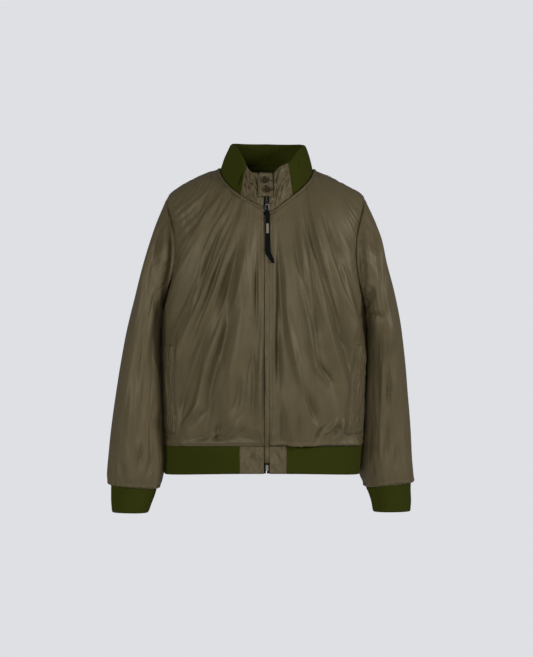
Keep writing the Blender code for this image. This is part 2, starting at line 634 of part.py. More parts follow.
def hem_point(angle, v):
    """A point of the hem band: v is 0 at the hem seam and 1 at the bottom edge."""
    angle, v = np.broadcast_arrays(np.asarray(angle, float), np.asarray(v, float))
    top = body_point(np.full_like(angle, HEM_RING), angle) - np.array([0, 0, SEAM])
    rad = np.radians(angle)
    s, c = np.sin(rad), np.cos(rad)
    power = 2 / BODY_RINGS[HEM_RING][-1]
    width = np.where(s >= 0, HEM_BOTTOM["left"], HEM_BOTTOM["right"])
    depth = np.where(c >= 0, HEM_BOTTOM["front"], HEM_BOTTOM["back"])
    z_end = np.where(c >= 0, HEM_BOTTOM["z_front"], HEM_BOTTOM["z_back"])
    x = width * np.sign(s) * np.abs(s) ** power
    y = -depth * np.sign(c) * np.abs(c) ** power
    z = z_end + (HEM_BOTTOM["z_side"] - z_end) * s * s
    low = np.stack([x, y, z], axis=-1)
    tuck = 1 - HEM_TUCK * np.clip((v - 0.9) / 0.1, 0, 1) ** 2
    point = top + (low - top) * v[..., None]
    point[..., :2] *= tuck[..., None]
    return point


def hem_piece(first, last, columns):
    angles = np.linspace(first, last, columns + 1)
    v = np.array(HEM_ROWS)
    points = hem_point(angles[None, :], v[:, None])
    points[:, 0] = seam_in(points[:, 0], points[:, 1])
    points[:, -1] = seam_in(points[:, -1], points[:, -2])
    return points


def hem_end_angle(side):
    """Where the nylon end of the hem band starts, beside the zip."""
    return abs(float(angle_at_x(float(HEM_RING), FRONT_EDGE[side] * (1 if side == "left" else -1))))


def centre_profile():
    """Height, depth, half width and squareness of the front at the zip, row by row."""
    rows = []
    for v in TAPE_COLLAR_SHARES:
        place = collar_point(0.0, v)
        rows.append((place[2], -place[1] - LAY * 2, COLLAR_TOP_WIDTH["right"], 2.0))
    for t in panel_rows():
        ring = body_sizes(t)
        rows.append((ring["z_front"], ring["front"], ring["right"], ring["square"]))
    for v in TAPE_HEM_SHARES:
        place = hem_point(0.0, v)
        rows.append((place[2], -place[1], HEM_BOTTOM["right"], BODY_RINGS[HEM_RING][-1]))
    return np.array(rows, dtype=float)[::-1]


def centre_heights(top, bottom):
    """The heights of those rows between top and bottom, going down."""
    heights = centre_profile()[::-1, 0]
    return heights[(heights < top) & (heights > bottom)]


def centre_points(x_values, z_values, lift):
    """A strip beside the zip: rows at the heights, columns at x, lifted out of the front."""
    table = centre_profile()
    z = np.asarray(z_values, float)[:, None]
    x = np.asarray(x_values, float)[None, :]
    depth = np.interp(z, table[:, 0], table[:, 1])
    width = np.interp(z, table[:, 0], table[:, 2])
    square = np.interp(z, table[:, 0], table[:, 3])
    y = -depth * (1 - (np.abs(x) / width) ** square) ** (1 / square)
    z, x, y = np.broadcast_arrays(z, x, y)
    return lifted(np.stack([x, y, z], axis=-1), lift)


def centre_place(z, lift):
    """One point in the middle of the front, and the direction down the cloth there."""
    strip = centre_points((-0.001, 0.001), (z + 0.004, z, z - 0.004), lift)
    middle = strip.mean(axis=1)
    down = Vector(middle[2] - middle[0]).normalized()
    return Vector(middle[1]), down


def section_tube(sections, side, columns, per_section):
    """Outer points of a cuff, its sections joined by smooth curves."""
    sign = 1 if side == "left" else -1
    angles = np.linspace(0, 360, columns + 1)
    rings = np.array([section_loop(values, sign, angles) for values in sections])
    last = len(rings) - 1
    t = np.linspace(0, last, last * per_section + 1)
    flat = spline_rows(rings.reshape(len(rings), -1), t)
    return flat.reshape(len(t), columns + 1, 3)


def make_material(name):
    colour, rough, metallic = COLOURS[name]
    material = bpy.data.materials.new(name)
    material.use_nodes = True
    shader = material.node_tree.nodes["Principled BSDF"]
    shader.inputs["Base Color"].default_value = (*colour, 1)
    shader.inputs["Roughness"].default_value = rough
    shader.inputs["Metallic"].default_value = metallic
    return material


def link(name, mesh, material, collection):
    item = bpy.data.objects.new(name, mesh)
    collection.objects.link(item)
    mesh.materials.append(material)
    return item


def wire(name, places, radius, material, collection, cyclic=False, resolution=2):
    """A round wire through the given places."""
    curve = bpy.data.curves.new(name, "CURVE")
    curve.dimensions = "3D"
    curve.bevel_depth = radius
    curve.bevel_resolution = resolution
    curve.use_fill_caps = not cyclic
    line = curve.splines.new("POLY")
    line.points.add(len(places) - 1)
    for point, place in zip(line.points, places):
        point.co = (*place, 1)
    line.use_cyclic_u = cyclic
    return link(name, curve, material, collection)


def frame_matrix(place, down):
    """A frame at a place: x across, y into the cloth, z up along it."""
    up = -down
    across = Vector((1, 0, 0))
    inward = up.cross(across).normalized()
    across = inward.cross(up).normalized()
    matrix = Matrix((across, inward, up)).transposed().to_4x4()
    matrix.translation = place
    return matrix


def to_mesh(item):
    """A wire made a closed mesh, so that a Boolean can use it."""
    evaluated = item.evaluated_get(bpy.context.evaluated_depsgraph_get())
    mesh = bpy.data.meshes.new_from_object(evaluated)
    bm = bmesh.new()
    bm.from_mesh(mesh)
    bmesh.ops.remove_doubles(bm, verts=bm.verts, dist=1e-6)
    bm.to_mesh(mesh)
    bm.free()
    solid = bpy.data.objects.new(item.name + "_solid", mesh)
    solid.matrix_world = item.matrix_world
    item.users_collection[0].objects.link(solid)
    bpy.data.objects.remove(item, do_unlink=True)
    return solid


def hide_cutter(item):
    item.hide_render = True
    item.display_type = "WIRE"


def bevelled_box(name, size, material, collection, taper=1.0):
    """A box with rounded edges, its lower end narrowed by the taper."""
    bm = bmesh.new()
    bmesh.ops.create_cube(bm, size=1)
    for vert in bm.verts:
        narrow = 1.0 if vert.co.z > 0 else taper
        vert.co = Vector((vert.co.x * size[0] * narrow, vert.co.y * size[1], vert.co.z * size[2]))
    bmesh.ops.bevel(bm, geom=bm.edges[:], offset=0.0008, segments=2, affect="EDGES")
    mesh = bpy.data.meshes.new(name)
    bm.to_mesh(mesh)
    bm.free()
    return link(name, mesh, material, collection)


def make_slider(material, collection, cutters):
    """The slider: a tapered body with an arched bridge in front. Returns the bridge's crown."""
    place, down = centre_place(SLIDER_Z, SLIDER_LIFT)
    place.x = PULL_X
    item = bevelled_box("zip_slider", SLIDER_SIZE, material, collection, SLIDER_TAPER)
    foot = -SLIDER_SIZE[1] / 2 + BRIDGE_WIRE / 2
    arch = []
    for step in range(BRIDGE_STEPS + 1):
        turn = math.pi * step / BRIDGE_STEPS
        arch.append((0, foot - BRIDGE_REACH * math.sin(turn), BRIDGE_REACH * math.cos(turn)))
    bridge = to_mesh(wire("slider_bridge", arch, BRIDGE_WIRE, material, cutters))
    hide_cutter(bridge)
    frame = frame_matrix(place, down)
    item.matrix_world = frame
    bridge.matrix_world = frame
    union = item.modifiers.new("Bridge", "BOOLEAN")
    union.operation = "UNION"
    union.object = bridge
    return frame @ Vector((0, foot - BRIDGE_REACH + BRIDGE_WIRE + RING_WIRE + SEAT, 0))


def make_pull(finish, collection, hinge):
    """The ring on the slider's bridge, the strap folded round it and the bare label."""
    axis = bpy.data.objects.new("pull_axis", None)
    axis.location = hinge
    collection.objects.link(axis)
    across = Vector((1, 0, 0))
    table = [dict(zip(STRAP_COLUMNS, row)) for row in STRAP_ROWS]
    front = []
    for row in table:
        place, down = centre_place(hinge.z - RING_LENGTH - row["down"], row["clear"])
        front.append(Vector((row["shift"], place.y - hinge.y, place.z - hinge.z)))
    gap = RING_WIRE + SEAT * 1.5
    bar = front[0] + Vector((0, gap, 0))
    lean = bar.normalized()
    ring = []
    for step in range(RING_STEPS):
        turn = 2 * math.pi * step / RING_STEPS
        c, d = math.cos(turn), math.sin(turn)
        side = RING_WIDTH / 2 * math.copysign(abs(c) ** RING_CORNER, c)
        drop = bar.length / 2 * (1 - math.copysign(abs(d) ** RING_CORNER, d))
        ring.append(across * side + lean * drop)
    wire("pull_ring", ring, RING_WIRE, finish["metal"], collection, cyclic=True,
         resolution=1).parent = axis
    inward = Vector((0, 1, 0))
    below = (front[1] - front[0]).normalized()
    path = [bar + inward * gap + below * share for share in LOOP_BACK]
    for step in range(LOOP_STEPS + 1):
        turn = math.pi * step / LOOP_STEPS
        path.append(bar + inward * gap * math.cos(turn) - below * gap * math.sin(turn))
    path += front[1:]
    halves = [table[0]["half"]] * (len(path) - len(front) + 1) + [row["half"] for row in table[1:]]
    points = np.array([[tuple(place + across * half * k) for k in (-1, 0, 1)]
                       for place, half in zip(path, halves)])
    make_wall("pull_strap", points, STRAP_THICK, finish["strap"], collection,
              to_back).parent = axis
    rows = points[len(path) - len(front):][LABEL_ROWS[0]:LABEL_ROWS[1] + 1]
    middle = rows[:, 1:2]
    half = np.array([LABEL_HALF, 0, 0])
    label = np.concatenate([middle - half, middle, middle + half], axis=1)
    label = lifted(label, STRAP_THICK + SEAT + LABEL_THICK)
    make_wall("pull_label", label, LABEL_THICK, finish["label"], collection,
              to_front).parent = axis


def make_box(material, collection):
    """The metal box at the bottom of the zip, on the tapes."""
    lift = -NYLON - LAY + SEAT + BOX_SIZE[1] / 2
    place, down = centre_place(BOX_Z, lift)
    place.x = PULL_X
    item = bevelled_box("zip_box", BOX_SIZE, material, collection)
    item.matrix_world = frame_matrix(place, down)


def make_button(name, x, z, material, collection, cutters):
    """A turned button with a raised rim and four holes, lying on the tab."""
    angle = math.degrees(math.asin(x / COLLAR_TOP_DEPTH["front"]))
    patch = np.array([[collar_at_height(angle + a, z + d) for a in (-2.0, 0.0, 2.0)]
                      for d in (0.004, 0.0, -0.004)])
    patch = lifted(patch, LAY + NYLON + SEAT + BUTTON_SAG)
    out = Vector(grid_normals(patch)[1, 1])
    place = Vector(patch[1, 1]) + out * (BUTTON_THICK / 2)
    half = BUTTON_THICK / 2
    profile = (
        (0, half - BUTTON_DISH), (BUTTON_RADIUS - BUTTON_RIM, half - BUTTON_DISH),
        (BUTTON_RADIUS - BUTTON_RIM * 0.6, half), (BUTTON_RADIUS - BUTTON_RIM * 0.25, half),
        (BUTTON_RADIUS, half - BUTTON_DISH), (BUTTON_RADIUS, -half + BUTTON_DISH),
        (BUTTON_RADIUS - BUTTON_DISH, -half), (0, -half),
    )
    mesh = bpy.data.meshes.new(name)
    bm = bmesh.new()
    verts = [bm.verts.new((r, 0, h)) for r, h in profile]
    for a, b in zip(verts, verts[1:]):
        bm.edges.new((a, b))
    bm.to_mesh(mesh)
    bm.free()
    item = link(name, mesh, material, collection)
    turned = item.modifiers.new("Turned", "SCREW")
    turned.steps = turned.render_steps = BUTTON_STEPS
    turned.use_merge_vertices = True
    turned.merge_threshold = 0.00001
    item.matrix_world = turned_frame(place, out)
    for sx in (-1, 1):
        for sy in (-1, 1):
            hole = cylinder(name + "_hole", BUTTON_HOLE, BUTTON_THICK * 2, cutters)
            at = Vector((sx * BUTTON_HOLE_AT, sy * BUTTON_HOLE_AT, 0))
            hole.matrix_world = item.matrix_world @ Matrix.Translation(at)
            cut = item.modifiers.new("Hole", "BOOLEAN")
            cut.object = hole


def turned_frame(place, out):
    """A frame at a place with its z axis along out."""
    turn = Vector((0, 0, 1)).rotation_difference(out).to_matrix().to_4x4()
    turn.translation = place
    return turn


def cylinder(name, radius, length, collection):
    mesh = bpy.data.meshes.new(name)
    bm = bmesh.new()
    bmesh.ops.create_cone(bm, cap_ends=True, segments=8, radius1=radius, radius2=radius, depth=length)
    bm.to_mesh(mesh)
    bm.free()
    item = bpy.data.objects.new(name, mesh)
    collection.objects.link(item)
    hide_cutter(item)
    return item


def build():
    clear_scene()
    jacket = bpy.data.collections.new("swing_jacket")
    bpy.context.scene.collection.children.link(jacket)
    cutters = bpy.data.collections.new("cutters")
    bpy.context.scene.collection.children.link(cutters)
    finish = {name: make_material(name) for name in COLOURS}
    nylon, rib = finish["nylon"], finish["rib"]
    for side in ("right", "left"):
        sign = 1 if side == "left" else -1
        make_wall("front_" + side + "_panel", front_points(side), NYLON, nylon, jacket, away_from_middle)
        make_wall("pocket_welt_" + side, welt_points(side), TRIM, nylon, jacket, away_from_middle)
        make_wall("sleeve_" + side, sleeve_points(side), NYLON, nylon, jacket, closed=True)
        make_wall("cuff_" + side, section_tube(CUFF_SECTIONS[side], side, 24, 1), RIB, rib, jacket,
                  closed=True)
        near, far = COLLAR_END_ANGLE * sign, COLLAR_RIB_ANGLE * sign
        make_wall("collar_end_" + side, collar_piece(min(near, far), max(near, far), 8), NYLON, nylon,
                  jacket, away_from_middle)
        near, far = hem_end_angle(side) * sign, HEM_END_ANGLE[side] * sign
        make_wall("hem_end_" + side, hem_piece(min(near, far), max(near, far), 5), NYLON, nylon,
                  jacket, away_from_middle)
        edges = sorted((TAPE_EDGES[0] * sign, TAPE_EDGES[1] * sign))
        heights = centre_profile()[::-1, 0]
        make_wall("zip_tape_" + side, centre_points(edges, heights, -NYLON - LAY), TAPE,
                  finish["tape"], jacket, to_front)
    make_wall("back_panel", back_points(), NYLON, nylon, jacket, away_from_middle)
    make_wall("collar_rib", collar_piece(COLLAR_RIB_ANGLE, 360 - COLLAR_RIB_ANGLE, 40), RIB, rib,
              jacket, away_from_middle)
    make_wall("hem_rib", hem_piece(HEM_END_ANGLE["left"], 360 - HEM_END_ANGLE["right"], HEM_COLUMNS),
              RIB, rib, jacket, away_from_middle)
    make_wall("neck_binding", binding_points(), TRIM, nylon, jacket, away_from_middle)
    make_wall("collar_tab", tab_points(), NYLON, nylon, jacket, to_front)
    make_wall("fly_strip", centre_points(FLY_EDGES, centre_heights(*FLY_Z), 0), NYLON, nylon,
              jacket, to_front)
    hinge = make_slider(finish["metal"], jacket, cutters)
    make_pull(finish, jacket, hinge)
    make_box(finish["metal"], jacket)
    for name, (x, z) in BUTTONS.items():
        make_button(name, x, z, finish["resin"], jacket, cutters)


build()
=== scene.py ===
# Nylon swing jacket: the cloth, knit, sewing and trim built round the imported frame.
import json
import math

import bmesh
import bpy
import numpy as np
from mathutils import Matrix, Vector

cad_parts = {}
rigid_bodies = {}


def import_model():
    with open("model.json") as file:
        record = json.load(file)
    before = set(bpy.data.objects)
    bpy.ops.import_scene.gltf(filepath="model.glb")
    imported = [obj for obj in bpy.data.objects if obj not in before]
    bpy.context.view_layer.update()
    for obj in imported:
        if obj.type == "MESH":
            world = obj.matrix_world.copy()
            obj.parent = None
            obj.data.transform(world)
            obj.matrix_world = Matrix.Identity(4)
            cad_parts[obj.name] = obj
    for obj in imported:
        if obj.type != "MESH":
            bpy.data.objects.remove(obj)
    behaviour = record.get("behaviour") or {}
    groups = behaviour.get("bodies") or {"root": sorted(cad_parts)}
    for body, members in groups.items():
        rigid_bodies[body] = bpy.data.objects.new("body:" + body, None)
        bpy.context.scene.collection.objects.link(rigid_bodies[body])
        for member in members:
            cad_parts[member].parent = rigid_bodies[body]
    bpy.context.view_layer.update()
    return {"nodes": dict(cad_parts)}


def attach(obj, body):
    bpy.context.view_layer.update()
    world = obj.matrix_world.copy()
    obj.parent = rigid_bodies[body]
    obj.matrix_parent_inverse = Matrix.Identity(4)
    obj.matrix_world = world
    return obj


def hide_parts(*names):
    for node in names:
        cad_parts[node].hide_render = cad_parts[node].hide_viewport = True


for item in list(bpy.data.objects):
    bpy.data.objects.remove(item, do_unlink=True)
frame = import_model()
bpy.ops.object.select_all(action="DESELECT")
print("frame loaded:", len(frame["nodes"]), "nodes")

# The wearer's sides, and the sign of x on each.
signs = {"right": -1, "left": 1}
# Thickness of each cloth as drawn, and the form's own sizes as in the part, in metres.
cloth = {"nylon": 0.001, "trim": 0.0009, "rib": 0.0022, "tape": 0.001, "strap": 0.0008, "label": 0.0005}
seams = {"line": 0.0005, "neck": 0.0011, "shoulder": 0.0011, "armhole": 0.0015, "lay": 0.0005,
         "binding": 0.0009}
bodyCut = {
    "columns": ("right", "left", "front", "back", "zFront", "zRight", "zLeft", "zBack", "square"),
    "rings": (
        (0.096, 0.0965, 0.106, 0.075, -0.095, 0.003, 0.0015, 0.013, 2.0),
        (0.15, 0.152, 0.119, 0.103, -0.134, -0.016, -0.0235, -0.03, 2.12),
        (0.209, 0.2056, 0.128, 0.117, -0.172, -0.059, -0.059, -0.09, 1.92),
        (0.212, 0.2085, 0.134, 0.123, -0.204, -0.1205, -0.1205, -0.14, 2.06),
        (0.213, 0.2085, 0.137, 0.125, -0.236, -0.182, -0.182, -0.19, 2.2),
        (0.216, 0.2085, 0.138, 0.125, -0.27, -0.2435, -0.2435, -0.2435, 2.3),
        (0.22, 0.209, 0.138, 0.123, -0.308, -0.305, -0.305, -0.305, 2.3),
        (0.2225, 0.2095, 0.137, 0.119, -0.372, -0.372, -0.372, -0.372, 2.3),
        (0.221, 0.2075, 0.134, 0.115, -0.439, -0.439, -0.439, -0.439, 2.3),
        (0.2195, 0.205, 0.13, 0.111, -0.5065, -0.5065, -0.5065, -0.5065, 2.3),
        (0.218, 0.203, 0.124, 0.107, -0.548, -0.55, -0.55, -0.55, 2.3),
        (0.2165, 0.2005, 0.114, 0.103, -0.5735, -0.577, -0.577, -0.577, 2.3),
    ),
    # rings at the shoulder's tip, where the pocket's line starts, at the underarm and at the hem
    "tip": 2, "pocketFrom": 4, "underarm": 6, "hem": 11,
    "armhole": {"front": 0.07, "back": 0.064}, "gentle": 0.92,
    "neckSkew": 0.008, "neckReach": 0.03,
    "zipEdge": {"right": 0.0048, "left": 0.0062},
    "pocketLine": {"right": (0.598, 0.639), "left": (0.709, 0.529)},
    # rows and columns of the cloth's grids; the pocket's rows are counted from the underarm
    "shoulderRows": 36, "armholeRows": 72, "sideRows": 66, "ridgeRows": 42, "bindingRow": 6,
    "frontColumns": 112, "sideColumns": 32, "backColumns": 156, "pocketRows": (12, 54), "pocketColumns": 24,
}
armStart = bodyCut["shoulderRows"]
armEnd = armStart + bodyCut["armholeRows"]


def smoothStep(x):
    x = np.clip(x, 0, 1)
    return x * x * (3 - 2 * x)


def bellCurve(distance, reach):
    return np.exp(-(distance / reach) ** 2)


def splineRows(table, t):
    rows = np.asarray(table, dtype=float)
    last = len(rows) - 1
    slopes = np.gradient(rows, axis=0)
    t = np.clip(np.asarray(t, dtype=float), 0, last)
    low = np.minimum(np.floor(t).astype(int), last - 1)
    f = (t - low).reshape(t.shape + (1,) * (rows.ndim - 1))
    return ((1 + 2 * f) * (1 - f) ** 2 * rows[low] + f * (1 - f) ** 2 * slopes[low]
            + f * f * (3 - 2 * f) * rows[low + 1] + f * f * (f - 1) * slopes[low + 1])


def randomField(u, v, seed, across):
    # random values on whole steps of u and v, blended between them by across() along u
    field = np.random.default_rng(seed).uniform(-1, 1, (61, 67))
    iu, iv = np.floor(u).astype(int), np.floor(v).astype(int)
    fu, fv = across(u - iu), smoothStep(v - iv)
    a, b = field[iu % 61, iv % 67], field[(iu + 1) % 61, iv % 67]
    c, d = field[iu % 61, (iv + 1) % 67], field[(iu + 1) % 61, (iv + 1) % 67]
    return (a * (1 - fu) + b * fu) * (1 - fv) + (c * (1 - fu) + d * fu) * fv


def softNoise(u, v, seed):
    # smooth random hills, about one for each whole step of u and v
    return randomField(u, v, seed, smoothStep)


def creaseNoise(u, v, seed):
    # broad rounded ridges between thin troughs, as in crisp taffeta
    return np.sqrt(softNoise(u, v, seed) ** 2 + 0.006) - 0.3


def facetNoise(u, v, seed):
    # flat strips between sharp creases that run along v, uneven in width
    return randomField(u + softNoise(u / 1.9, v / 1.3, seed + 50) * 0.3, v, seed, np.positive)


def bodySizes(t):
    values = splineRows(bodyCut["rings"], t)
    return {name: values[..., i] for i, name in enumerate(bodyCut["columns"])}


def squaredOval(angle, sizes, square):
    # angle in degrees: 0 in front, 90 at +X, 180 behind
    s, c = np.sin(np.radians(angle)), np.cos(np.radians(angle))
    width = np.where(s >= 0, sizes["left"], sizes["right"])
    depth = np.where(c >= 0, sizes["front"], sizes["back"])
    x = width * np.sign(s) * np.abs(s) ** (2 / square)
    y = -depth * np.sign(c) * np.abs(c) ** (2 / square)
    return s, c, x, y


def bodyPoint(t, angle):
    t, angle = np.broadcast_arrays(np.asarray(t, float), np.asarray(angle, float))
    ring = bodySizes(t)
    s, c, x, y = squaredOval(angle, ring, ring["square"])
    zSide = np.where(s >= 0, ring["zLeft"], ring["zRight"])
    zEnd = np.where(c >= 0, ring["zFront"], ring["zBack"])
    vee = np.clip(1 - t / bodyCut["tip"], 0, 1) ** 2 * (c >= 0)
    straight = np.abs(np.arcsin(np.clip(s, -1, 1))) / (math.pi / 2)
    z = zEnd + (zSide - zEnd) * (vee * straight + (1 - vee) * s * s)
    reach = bodyCut["neckReach"]
    skew = bodyCut["neckSkew"] * np.tanh(x / reach * 2) * bellCurve(x, reach)
    return np.stack([x, y, z - skew * np.clip(1 - t, 0, 1) ** 2 * (c > 0)], axis=-1)


def angleAtX(t, x):
    ring = bodySizes(t)
    width = np.where(np.asarray(x) >= 0, ring["left"], ring["right"])
    share = np.clip(np.abs(x) / width, 0, 1)
    return np.degrees(np.arcsin(share ** (ring["square"] / 2))) * np.sign(x)


def armholeAngle(t, face, gentle=False):
    # gentle is for the columns inside a panel, which don't need the oval's steep ends
    ring = bodySizes(t)
    w = np.clip((np.asarray(t, float) - bodyCut["tip"]) / (bodyCut["underarm"] - bodyCut["tip"]), 0, 1)
    if gentle:
        oval = bodyCut["gentle"] * np.sin(math.pi * w) ** 2
    else:
        oval = np.sqrt(np.clip(1 - (2 * w - 1) ** 2, 0, 1))
    share = np.clip(bodyCut["armhole"][face] * oval / ring[face], 0, 1)
    return np.degrees(np.arccos(share ** (ring["square"] / 2)))


def panelRows(rounding=0.0):
    shoulder = np.linspace(0, bodyCut["tip"], bodyCut["shoulderRows"] + 1)[:-1]
    even = np.linspace(0, 1, bodyCut["armholeRows"] + 1)
    w = even + ((1 - np.cos(math.pi * even)) / 2 - even) * rounding
    armhole = bodyCut["tip"] + w * (bodyCut["underarm"] - bodyCut["tip"])
    side = np.linspace(bodyCut["underarm"], bodyCut["hem"], bodyCut["sideRows"] + 1)[1:]
    return np.concatenate([shoulder, armhole, side])


def panelGridRows(shares):
    return np.stack([panelRows(smoothStep(share)) for share in shares], axis=1)


def unit(vectors):
    return vectors / np.maximum(np.linalg.norm(vectors, axis=-1, keepdims=True), 1e-9)


def gridNormals(points, closed=False):
    if closed:
        wrapped = np.concatenate([points[:, -2:-1], points, points[:, 1:2]], axis=1)
        across = wrapped[:, 2:] - wrapped[:, :-2]
    else:
        across = np.gradient(points, axis=1)
    return unit(np.cross(np.gradient(points, axis=0), across))


def lifted(points, height):
    return points + gridNormals(points) * np.asarray(height, float)[..., None]


def runLengths(points, axis):
    # how far each point is along its row or column
    step = np.linalg.norm(np.diff(points, axis=axis), axis=-1)
    pad = [(0, 0), (0, 0)]
    pad[axis] = (1, 0)
    return np.pad(np.cumsum(step, axis=axis), pad)


def edgeDistances(points):
    # how far each point is from the top, the bottom, the first and the last column
    down, across = runLengths(points, 0), runLengths(points, 1)
    return down, down[-1] - down, across, across[:, -1:] - across


def edgeFade(points, lengths):
    # 0 at the seams and 1 inside; lengths: top, bottom, first column, last column, or only the first two
    fade = 1
    for distance, length in zip(edgeDistances(points), lengths):
        fade = fade * smoothStep(distance / length)
    return fade


def foldHeight(u, v, folds):
    # each fold: start, middle, end, height, half width on its -u side, half width on its +u side,
    # all in thousandths of a metre, or of the piece's own width and length
    total = np.zeros_like(u)
    steps = np.linspace(0, 1, 15)
    for row in folds:
        u0, v0, u1, v1, u2, v2, height, before, after = (number / 1000 for number in row)
        bendU, bendV = 2 * u1 - (u0 + u2) / 2, 2 * v1 - (v0 + v2) / 2
        lineU = (1 - steps) ** 2 * u0 + 2 * steps * (1 - steps) * bendU + steps ** 2 * u2
        lineV = (1 - steps) ** 2 * v0 + 2 * steps * (1 - steps) * bendV + steps ** 2 * v2
        best = np.full_like(u, 1e9)
        along = np.zeros_like(u)
        side = np.zeros_like(u)
        for i in range(len(steps) - 1):
            du, dv = lineU[i + 1] - lineU[i], lineV[i + 1] - lineV[i]
            f = np.clip(((u - lineU[i]) * du + (v - lineV[i]) * dv) / (du * du + dv * dv), 0, 1)
            gu, gv = u - lineU[i] - f * du, v - lineV[i] - f * dv
            gap = np.hypot(gu, gv)
            nearer = gap < best
            best = np.where(nearer, gap, best)
            along = np.where(nearer, (i + f) / (len(steps) - 1), along)
            turn = 1 if dv < 0 else -1
            side = np.where(nearer, (gv * du - gu * dv) * turn, side)
        fade = smoothStep(along / 0.42) * smoothStep((1 - along) / 0.42)
        taper = np.where(side > 0, after, before) * (0.55 + 0.45 * fade)
        total += height * fade * np.clip(1 - best / taper / 1.7, 0, 1) ** 1.25
    return total


def creaseLayers(look, fan, z, drop, wide, shift=0):
    # look["layers"]: how many creases to a step of fan, their depth as a share of their width, their
    # length, the seed, how far below the neck they start, over what length they grow, the least share
    total = np.zeros_like(z)
    for count, depth, length, seed, start, grow, least in look["layers"]:
        share = least + (1 - least) * smoothStep((drop - start) / grow)
        facets = facetNoise(fan * count + look["shift"], z / length, seed + shift)
        total += facets * depth * wide / count * share
    return total


def creaseMap(fan, z):
    # where the material's small creases run: 15 to a step of fan, each about 15 cm long
    return np.stack([fan * 15 + 90, z / 0.15], axis=-1)


def toLinear(hexColour):
    value = [int(hexColour[i:i + 2], 16) / 255 for i in (1, 3, 5)]
    return tuple(c / 12.92 if c <= 0.04045 else ((c + 0.055) / 1.055) ** 2.4 for c in value) + (1.0,)


def fillSockets(node, settings):
    # settings go to the node's properties, or to its sockets by name; colours are hex codes
    for name, value in settings.items():
        if hasattr(node, name):
            setattr(node, name, value)
        else:
            plain = toLinear(value) if isinstance(value, str) else value
            node.inputs[name.replace("_", " ")].default_value = plain


def addNode(owner, kind, links=None, **settings):
    tree = owner.node_tree
    node = tree.nodes.new("ShaderNode" + kind)
    fillSockets(node, settings)
    for socket, source in (links or {}).items():
        tree.links.new(source, node.inputs[socket])
    return node


def bandScale(spacing):
    # the scale at which a wave texture's bands are the given distance apart
    return 2 * math.pi / spacing / 20


def newMaterial(name, **sockets):
    material = bpy.data.materials.new(name)
    material.use_nodes = True
    fillSockets(material.node_tree.nodes["Principled BSDF"], sockets)
    return material


def painted(material, colours, factor, bump=None):
    # the factor mixes the two colours, dark and light, and the bump gives the relief
    shader = material.node_tree.nodes["Principled BSDF"]
    fillSockets(shader, {"Base_Color": colours[1]})
    ramp = addNode(material, "ValToRGB", {0: factor})
    for element, colour in zip(ramp.color_ramp.elements, colours):
        element.color = toLinear(colour)
    material.node_tree.links.new(ramp.outputs[0], shader.inputs["Base Color"])
    if bump:
        material.node_tree.links.new(bump.outputs[0], shader.inputs["Normal"])
    return material


# Nylon taffeta, plain woven and calendered: a soft sheen, close weave, slight shade changes.
nylonLook = {"colours": ("#4A422D", "#5A513C"), "roughness": 0.5, "weave": 0.0011, "bump": 0.1,
             "crinkle": 1.6, "crease": 0.4, "creaseDepth": 0.0072, "wander": 1.6, "flat": 0.45}


def makeNylon():
    material = newMaterial("nylon_taffeta", Roughness=nylonLook["roughness"], IOR=1.45,
                           Specular_IOR_Level=0.4, Specular_Tint="#E8DEC6")
    place = addNode(material, "TexCoord").outputs["UV"]
    mottle = addNode(material, "TexNoise", {"Vector": place}, Scale=14.0, Detail=3.0)
    # real threads are 0.1 mm apart; they are drawn every 1.1 mm so that the weave shows
    warp, weft = (addNode(material, "TexWave", {"Vector": place}, Scale=bandScale(nylonLook["weave"]),
                          bands_direction=way, Distortion=0.6, Detail=1.0) for way in "XY")
    cross = addNode(material, "Math", {0: warp.outputs[1], 1: weft.outputs[1]}, operation="MULTIPLY")
    crinkle = addNode(material, "TexNoise", {"Vector": place}, Scale=160.0, Detail=4.0)
    both = addNode(material, "Math", {0: crinkle.outputs[0], 2: cross.outputs[0]}, operation="MULTIPLY_ADD")
    both.inputs[1].default_value = nylonLook["crinkle"]
    weave = addNode(material, "Bump", {"Height": both.outputs[0]}, Strength=nylonLook["bump"],
                    Distance=0.0006)
    # crisp small creases: flat facets that meet in lines along the drape
    run = addNode(material, "UVMap", uv_map="creases").outputs[0]
    wander = addNode(material, "TexNoise", {"Vector": run}, Scale=0.55, Detail=1.0)
    bent = addNode(material, "VectorMath", {0: wander.outputs[1], 2: run}, operation="MULTIPLY_ADD")
    bent.inputs[1].default_value = (nylonLook["wander"], nylonLook["wander"], 0)
    facets = addNode(material, "TexVoronoi", {"Vector": bent.outputs[0]}, Scale=1.0, Randomness=1.0,
                     feature="DISTANCE_TO_EDGE", voronoi_dimensions="2D")
    flat = addNode(material, "Math", {0: facets.outputs["Distance"]}, operation="MINIMUM")
    flat.inputs[1].default_value = nylonLook["flat"]
    bump = addNode(material, "Bump", {"Height": flat.outputs[0], "Normal": weave.outputs[0]},
                   Strength=nylonLook["crease"], Distance=nylonLook["creaseDepth"])
    return painted(material, nylonLook["colours"], mottle.outputs[0], bump)


# Acrylic rib knit, 2 by 2: matt, with a short nap that lightens towards its edges.
ribLook = {"colours": ("#252803", "#343806"), "roughness": 0.95, "course": 0.0016, "bump": 0.35}


